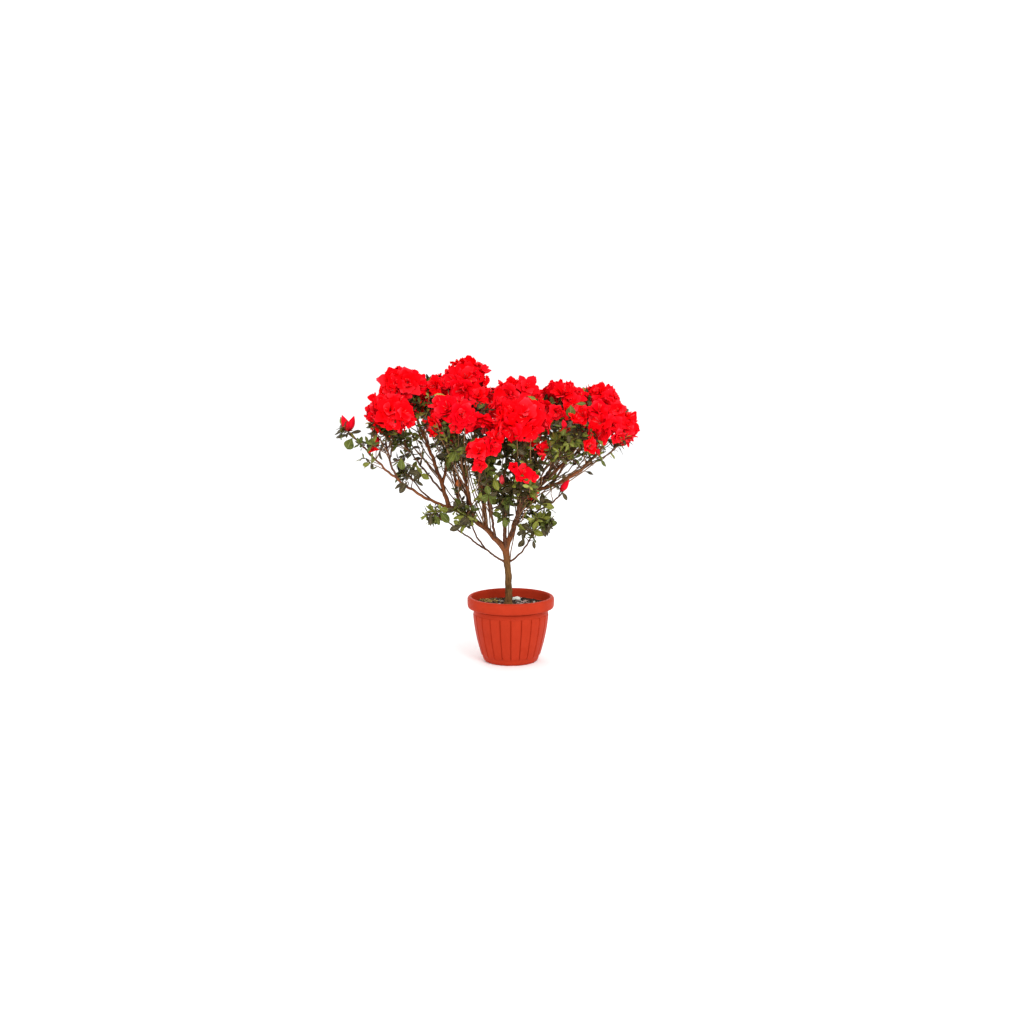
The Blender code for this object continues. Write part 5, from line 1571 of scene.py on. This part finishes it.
def grow_fill_blooms(name, mass, rng):
    """Smaller blooms in the gaps between those that the solid has, within the same reach."""
    facing, shoots = facing_out(mass), []
    wanted = BLOOM_FILLS.get(name, USUAL_FILLS["blooms"])
    for direction in spread_directions(FILL_DIRECTIONS, rng.uniform(0.0, 6.3), facing):
        if direction.dot(facing) < -0.10 or len(shoots) == wanted:
            break
        reach = surface_distance(mass, direction)
        radius = BLOOM_RADIUS * rng.uniform(0.86, 1.12)
        face = math.sqrt(reach * reach - radius * radius) * 0.98
        centre = Vector(mass.centre) + direction * face
        if has_room(centre, radius):
            shoots.append(flower(name, (0.5, 0.95), centre, direction, radius, rng, FILL_NOD))
    for shoot in shoots:
        dress_bloom(mass, shoot)


def grow_fill_sprays(name, mass, rng, count, facing, span):
    """More leafy twigs, from all along the stem, in directions that lean to where the mass faces."""
    for direction in spread_directions(SPRAY_DIRECTIONS, rng.uniform(0.0, 6.3), facing)[: count * 2 : 2]:
        reach = surface_distance(mass, direction)
        axis = (direction + UP * 0.25).normalized()
        length = LIFE_LEAF_LENGTH * rng.uniform(0.72, 1.05)
        out = rng.uniform(*span) * reach - 0.7 * length
        tip = Vector(mass.centre) + direction * max(out, 0.25 * reach)
        root = on_stem(STEMS[name], rng, 0.10, 0.90)
        tint = deal_tint(mass, rng)
        path = add_twig(root, tip, axis, TWIG_RADIUS * 0.9, slot=1)
        add_whorl(tip, axis, rng.randint(5, 7), length, rng, tint)
        add_stem_leaves(path, rng.randint(1, 3), length * 0.8, rng, tint)


def grow_mass(name, mass):
    """All the shoots of one mass."""
    rng, facing = random.Random(f"{mass.name} fill"), facing_out(mass)
    grow_front_blooms(name, mass)
    grow_solid_shoots(name, mass, rng)
    if mass.blooms:
        grow_fill_blooms(name, mass, rng)
        count = FLOWERING_FILLS.get(name, USUAL_FILLS["flowering"])
        grow_fill_sprays(name, mass, rng, count, -facing, (0.80, 1.02))
    else:
        count = LEAFY_FILLS.get(name, USUAL_FILLS["leafy"])
        grow_fill_sprays(name, mass, rng, count, facing, (0.70, 1.00))


def grow_bridge_leaves(name, mass, middle, along, facing):
    """Whorls of leaves in the dip where two flowering masses meet."""
    rng = random.Random(f"{mass.name} {middle.x:.3f} leaves")
    for _ in range(BRIDGE_SPRAYS):
        outward, _ = frame_about(along, any_turn(rng))
        tip = middle + outward * rng.uniform(0.004, 0.022) + facing * 0.008
        if within(SKY_PLACES, tip):
            continue
        heading = (outward + facing + UP * 0.3).normalized()
        add_twig(on_stem(STEMS[name], rng, 0.4, 0.9), tip, heading, TWIG_RADIUS * 0.9, slot=1)
        length = LIFE_LEAF_LENGTH * rng.uniform(0.8, 1.0)
        add_whorl(tip, heading, 6, length, rng, deal_tint(mass, rng))


def grow_bridges():
    """Leaves and blooms in the dips where two flowering masses meet; blooms on the sides out of the crown."""
    flowering = [name for name, mass in MASSES.items() if mass.blooms and name != "front_low"]
    for name, other_name in itertools.combinations(flowering, 2):
        first, second = pair = MASSES[name], MASSES[other_name]
        between = Vector(second.centre) - Vector(first.centre)
        if between.length > BRIDGE_SPAN:
            continue
        rng = random.Random(f"{name} {other_name}")
        middle = Vector(first.centre) + between * rng.uniform(0.4, 0.6)
        facing = (middle - CROWN_HEART).normalized()
        if middle.y > 0.0:
            grow_bridge_leaves(name, first, middle, between.normalized(), facing)
        for k in range(BRIDGE_TURNS):
            outward, _ = frame_about(between.normalized(), 0.2 * math.pi * k + rng.uniform(-0.2, 0.2))
            if outward.dot(facing) < -0.15 or outward.z > 0.35:
                continue
            reach = 0.016
            while min(inside_share(mass, middle + outward * reach) for mass in pair) < BRIDGE_DEPTH:
                reach += 0.003
            centre, radius = middle + outward * reach, BLOOM_RADIUS * rng.uniform(0.90, 1.15)
            hidden = inside_share(CROWN_SPACE, centre) < BRIDGE_HEART or centre.z < BRIDGE_LOWEST
            if not hidden and has_room(centre, radius):
                dress_bloom(first, flower(name, (0.4, 0.9), centre, outward, radius, rng, BRIDGE_NOD))


def grow_risers():
    """Long thin twigs, leafy or bare, that climb from the boughs into the flowering masses from below."""
    carriers = {bough.end: bough for bough in BOUGHS}
    for name, mass in MASSES.items():
        if not mass.blooms:
            continue
        rng = random.Random(f"{name} risers")
        own, parent = COURSES[carriers[name].name], COURSES[carriers[name].parent]
        for k in range(RISERS + BARE_TWIGS):
            wood = own if k % 3 else parent
            share = rng.uniform(0.12, 0.62) if k % 3 else rng.uniform(0.30, 0.95)
            start = Vector(wood[int(share * (len(wood) - 1))])
            offset = Vector([rng.uniform(*span) for span in RISER_ENDS])
            end = Vector(mass.centre) + Vector([offset[i] * mass.radii[i] for i in range(3)])
            arrive = (UP + (end - start).normalized()).normalized()
            path = add_twig(start, end, arrive, TWIG_RADIUS * 1.15, bend=0.30, slot=rng.choice((0, 1, 1)))
            if k >= RISERS:
                continue
            tint = rng.choices(KINDS, LEAF_MIX["crown"])[0]
            add_stem_leaves(path, rng.randint(6, 10), LIFE_LEAF_LENGTH * 0.82, rng, tint, 0.40)
            for place in (0.60, 0.80):
                tip, along = point_at([Vector(p) for p in path], place + rng.uniform(-0.08, 0.08))
                length = LIFE_LEAF_LENGTH * rng.uniform(0.65, 0.90)
                add_whorl(tip, along, rng.randint(3, 5), length, rng, tint, RISER_LEANS)


def grow_bough_sprays():
    """Thin side twigs along the boughs, each with a small whorl of leaves."""
    for name, (start, end, count) in BOUGH_SPRAYS.items():
        rng, course = random.Random(f"{name} sprays"), COURSES[name]
        turn = any_turn(rng)
        for k in range(count):
            place = int((start + (end - start) * (k + rng.uniform(0.15, 0.85)) / count) * (len(course) - 1))
            root, along = Vector(course[place]), Vector(course[place + 1] - course[place]).normalized()
            across, _ = frame_about(along, turn + k * GOLDEN_TURN)
            heading = (along * 0.55 + across * 0.75 + UP * 0.40).normalized()
            tip = root + heading * rng.uniform(0.024, 0.056)
            if inside_share(CROWN_SPACE, tip) > 1.0:
                continue
            tint = rng.choices(KINDS, LEAF_MIX["inner" if tip.z > 0.40 else "low"])[0]
            path = add_twig(root, tip, heading, TWIG_RADIUS * 0.85, TWIG_TIP_RADIUS * 0.9, 0.30, 1)
            length = LIFE_LEAF_LENGTH * rng.uniform(0.62, 0.98)
            add_whorl(tip, heading, rng.randint(4, 6), length, rng, tint)
            add_stem_leaves(path, rng.randint(2, 4), length * 0.8, rng, tint)


def nearest_wood(point):
    """The point of the limbs nearest to a place, a little lower than it."""
    best, nearest = None, 1.0
    for course in COURSES.values():
        offsets = course - np.array(point)
        far = np.linalg.norm(offsets, axis=1) + 2.0 * np.maximum(0.0, offsets[:, 2] + 0.012)
        if far.min() < nearest:
            nearest, best = far.min(), Vector(course[int(far.argmin())])
    return best


def grow_single(kind, foot, top, tone, count, breadth):
    """A shoot of the photograph on a twig of its own."""
    rng = random.Random(f"single {foot}")
    foot, top = Vector(foot), Vector(top)
    heading, length = (top - foot).normalized(), (top - foot).length
    arrive = (heading + UP).normalized() if kind == "leaf" else heading
    add_twig(nearest_wood(foot), foot, arrive, bend=0.30, slot=2 * (kind == "stem"))
    if kind in ("spray", "stem"):
        slot = 1 + (kind == "stem")
        add_twig(foot, top, heading, TWIG_TIP_RADIUS, TWIG_TIP_RADIUS * 0.8, 0.30, slot)
    if kind == "leaf":
        add_leaf(foot, heading, Vector((0.0, -1.0, 0.35)), length, rng, tone, breadth)
    elif kind == "bud":
        add_bud(foot, heading, length, rng, 0.23 * breadth, tone)
    elif kind == "bloom":
        add_bloom(foot, heading, length / (BLOOM_DEPTH * 1.25), 0.0, rng, tone, breadth)
    elif kind == "stem":
        add_whorl(top, heading, 3, LIFE_LEAF_LENGTH * 0.6, rng, "olive")
    else:
        add_whorl(top, heading, count, LIFE_LEAF_LENGTH * breadth, rng, tone)
        return
    if count:
        tint = "olive" if foot.z < 0.40 and abs(foot.x) < 0.05 else "dark"
        add_whorl(foot, heading, count, LIFE_LEAF_LENGTH * 0.85, rng, tint, SINGLE_LEANS)


def grow_foliage():
    for name, mass in MASSES.items():
        grow_mass(name, mass)
    grow_bridges()
    grow_risers()
    grow_bough_sprays()
    for kind, rows in SINGLES.items():
        for row in rows:
            grow_single(kind, *row)


def place_foliage():
    """The twigs, leaves, blooms and buds that have grown, each kind as one piece."""
    leafy = [mass.name for mass in MASSES.values() if not mass.blooms]
    flowering = [mass.name for mass in MASSES.values() if mass.blooms]
    place_piece(TWIGS.make("twigs", [bark(*row) for row in TWIG_TONES]), "bough_bark", *leafy)
    for tint, sheaf in LEAVES.items():
        place_piece(sheaf.make("leaves_" + tint, [leaf_skin("leaf_" + tint, *LEAF_TONES[tint])]), "foliage")
    stamen = speckled("stamen", (0.50, 0.02, 0.03), (0.80, 0.08, 0.08), 0.5)
    # A lighter, pinker red that paints a highlight on some petals
    painted_highlight = petal_silk("petal_blush", *PAINTED_HIGHLIGHT_TONES)
    for red, sheaf in BLOOMS.items():
        # Inner petals are a touch darker: painted shade deep in the flower
        inner = [tuple(c * 0.95 for c in tone) for tone in PETAL_TONES[red]]
        petals = [petal_silk("petal_" + red, *PETAL_TONES[red]), petal_silk("inner_petal_" + red, *inner)]
        piece = sheaf.make("blooms_" + red, [*petals, stamen, painted_highlight])
        place_piece(piece, "blossom", *(flowering if red == "scarlet" else ()))
    skins = [petal_silk(name, *tones) for name, *tones in BUD_TONES]
    skins.insert(1, leaf_skin("bud_scale", *SCALE_TONES, 0.5))
    place_piece(BUDS.make("buds", skins), "blossom")


# Stage, light and camera


def make_stage():
    """A plain pale floor that runs far out on all sides."""
    points = np.array([(x, y, -0.0005) for y in (-9.0, 9.0) for x in (-9.0, 9.0)])
    sheaf = Sheaf()
    sheaf.add(points, np.array(((0, 1, 3, 2),)), points[:, :2])
    look = Recipe("pale_floor", Roughness=0.85, Specular_IOR_Level=0.1)
    cloudy = look.noise(look.place(), 3.0, 2.0)
    look.finish(Base_Color=look.ramp(cloudy, (0.3, (0.97, 0.97, 0.97)), (0.7, (0.985, 0.985, 0.985))))
    sheaf.make("floor", [look.material])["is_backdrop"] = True


def add_object(name, data, place):
    obj = bpy.data.objects.new(name, data)
    obj.location = place
    bpy.context.scene.collection.objects.link(obj)
    return obj


def make_light():
    world = bpy.data.worlds.new("studio")
    world.use_nodes = True
    background = world.node_tree.nodes["Background"]
    background.inputs["Color"].default_value = (1.0, 1.0, 1.0, 1.0)
    background.inputs["Strength"].default_value = WORLD_STRENGTH
    bpy.context.scene.world = world
    for name, place, size, energy in LIGHT_ROWS:
        light = bpy.data.lights.new(name, "AREA")
        light.shape = "DISK"
        light.size = size
        light.energy = energy
        obj = add_object(name, light, place)
        obj.rotation_mode = "QUATERNION"
        obj.rotation_quaternion = (Vector(LIGHT_AIM) - Vector(place)).to_track_quat("-Z", "Y")


def make_camera():
    camera = bpy.data.cameras.new("camera")
    camera.lens = CAMERA_LENS
    camera.sensor_width = 36.0
    obj = add_object("camera", camera, CAMERA_PLACE)
    obj.rotation_euler = (math.radians(CAMERA_PITCH_DEG), 0.0, 0.0)
    bpy.context.scene.camera = obj
    bpy.context.scene.view_settings.view_transform = "Standard"


def write_sizes():
    """The model's box and the dressed model's box, worked out but not kept."""
    boxes = {"cad": cad_box, "visual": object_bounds()}
    {name: [list(corner) for corner in box] for name, box in boxes.items()}


make_camera()
make_light()
make_stage()
make_pot()
make_soil()
make_soil_litter()
make_soil_finds()
make_trunk()
make_boughs()
grow_foliage()
place_foliage()
write_sizes()
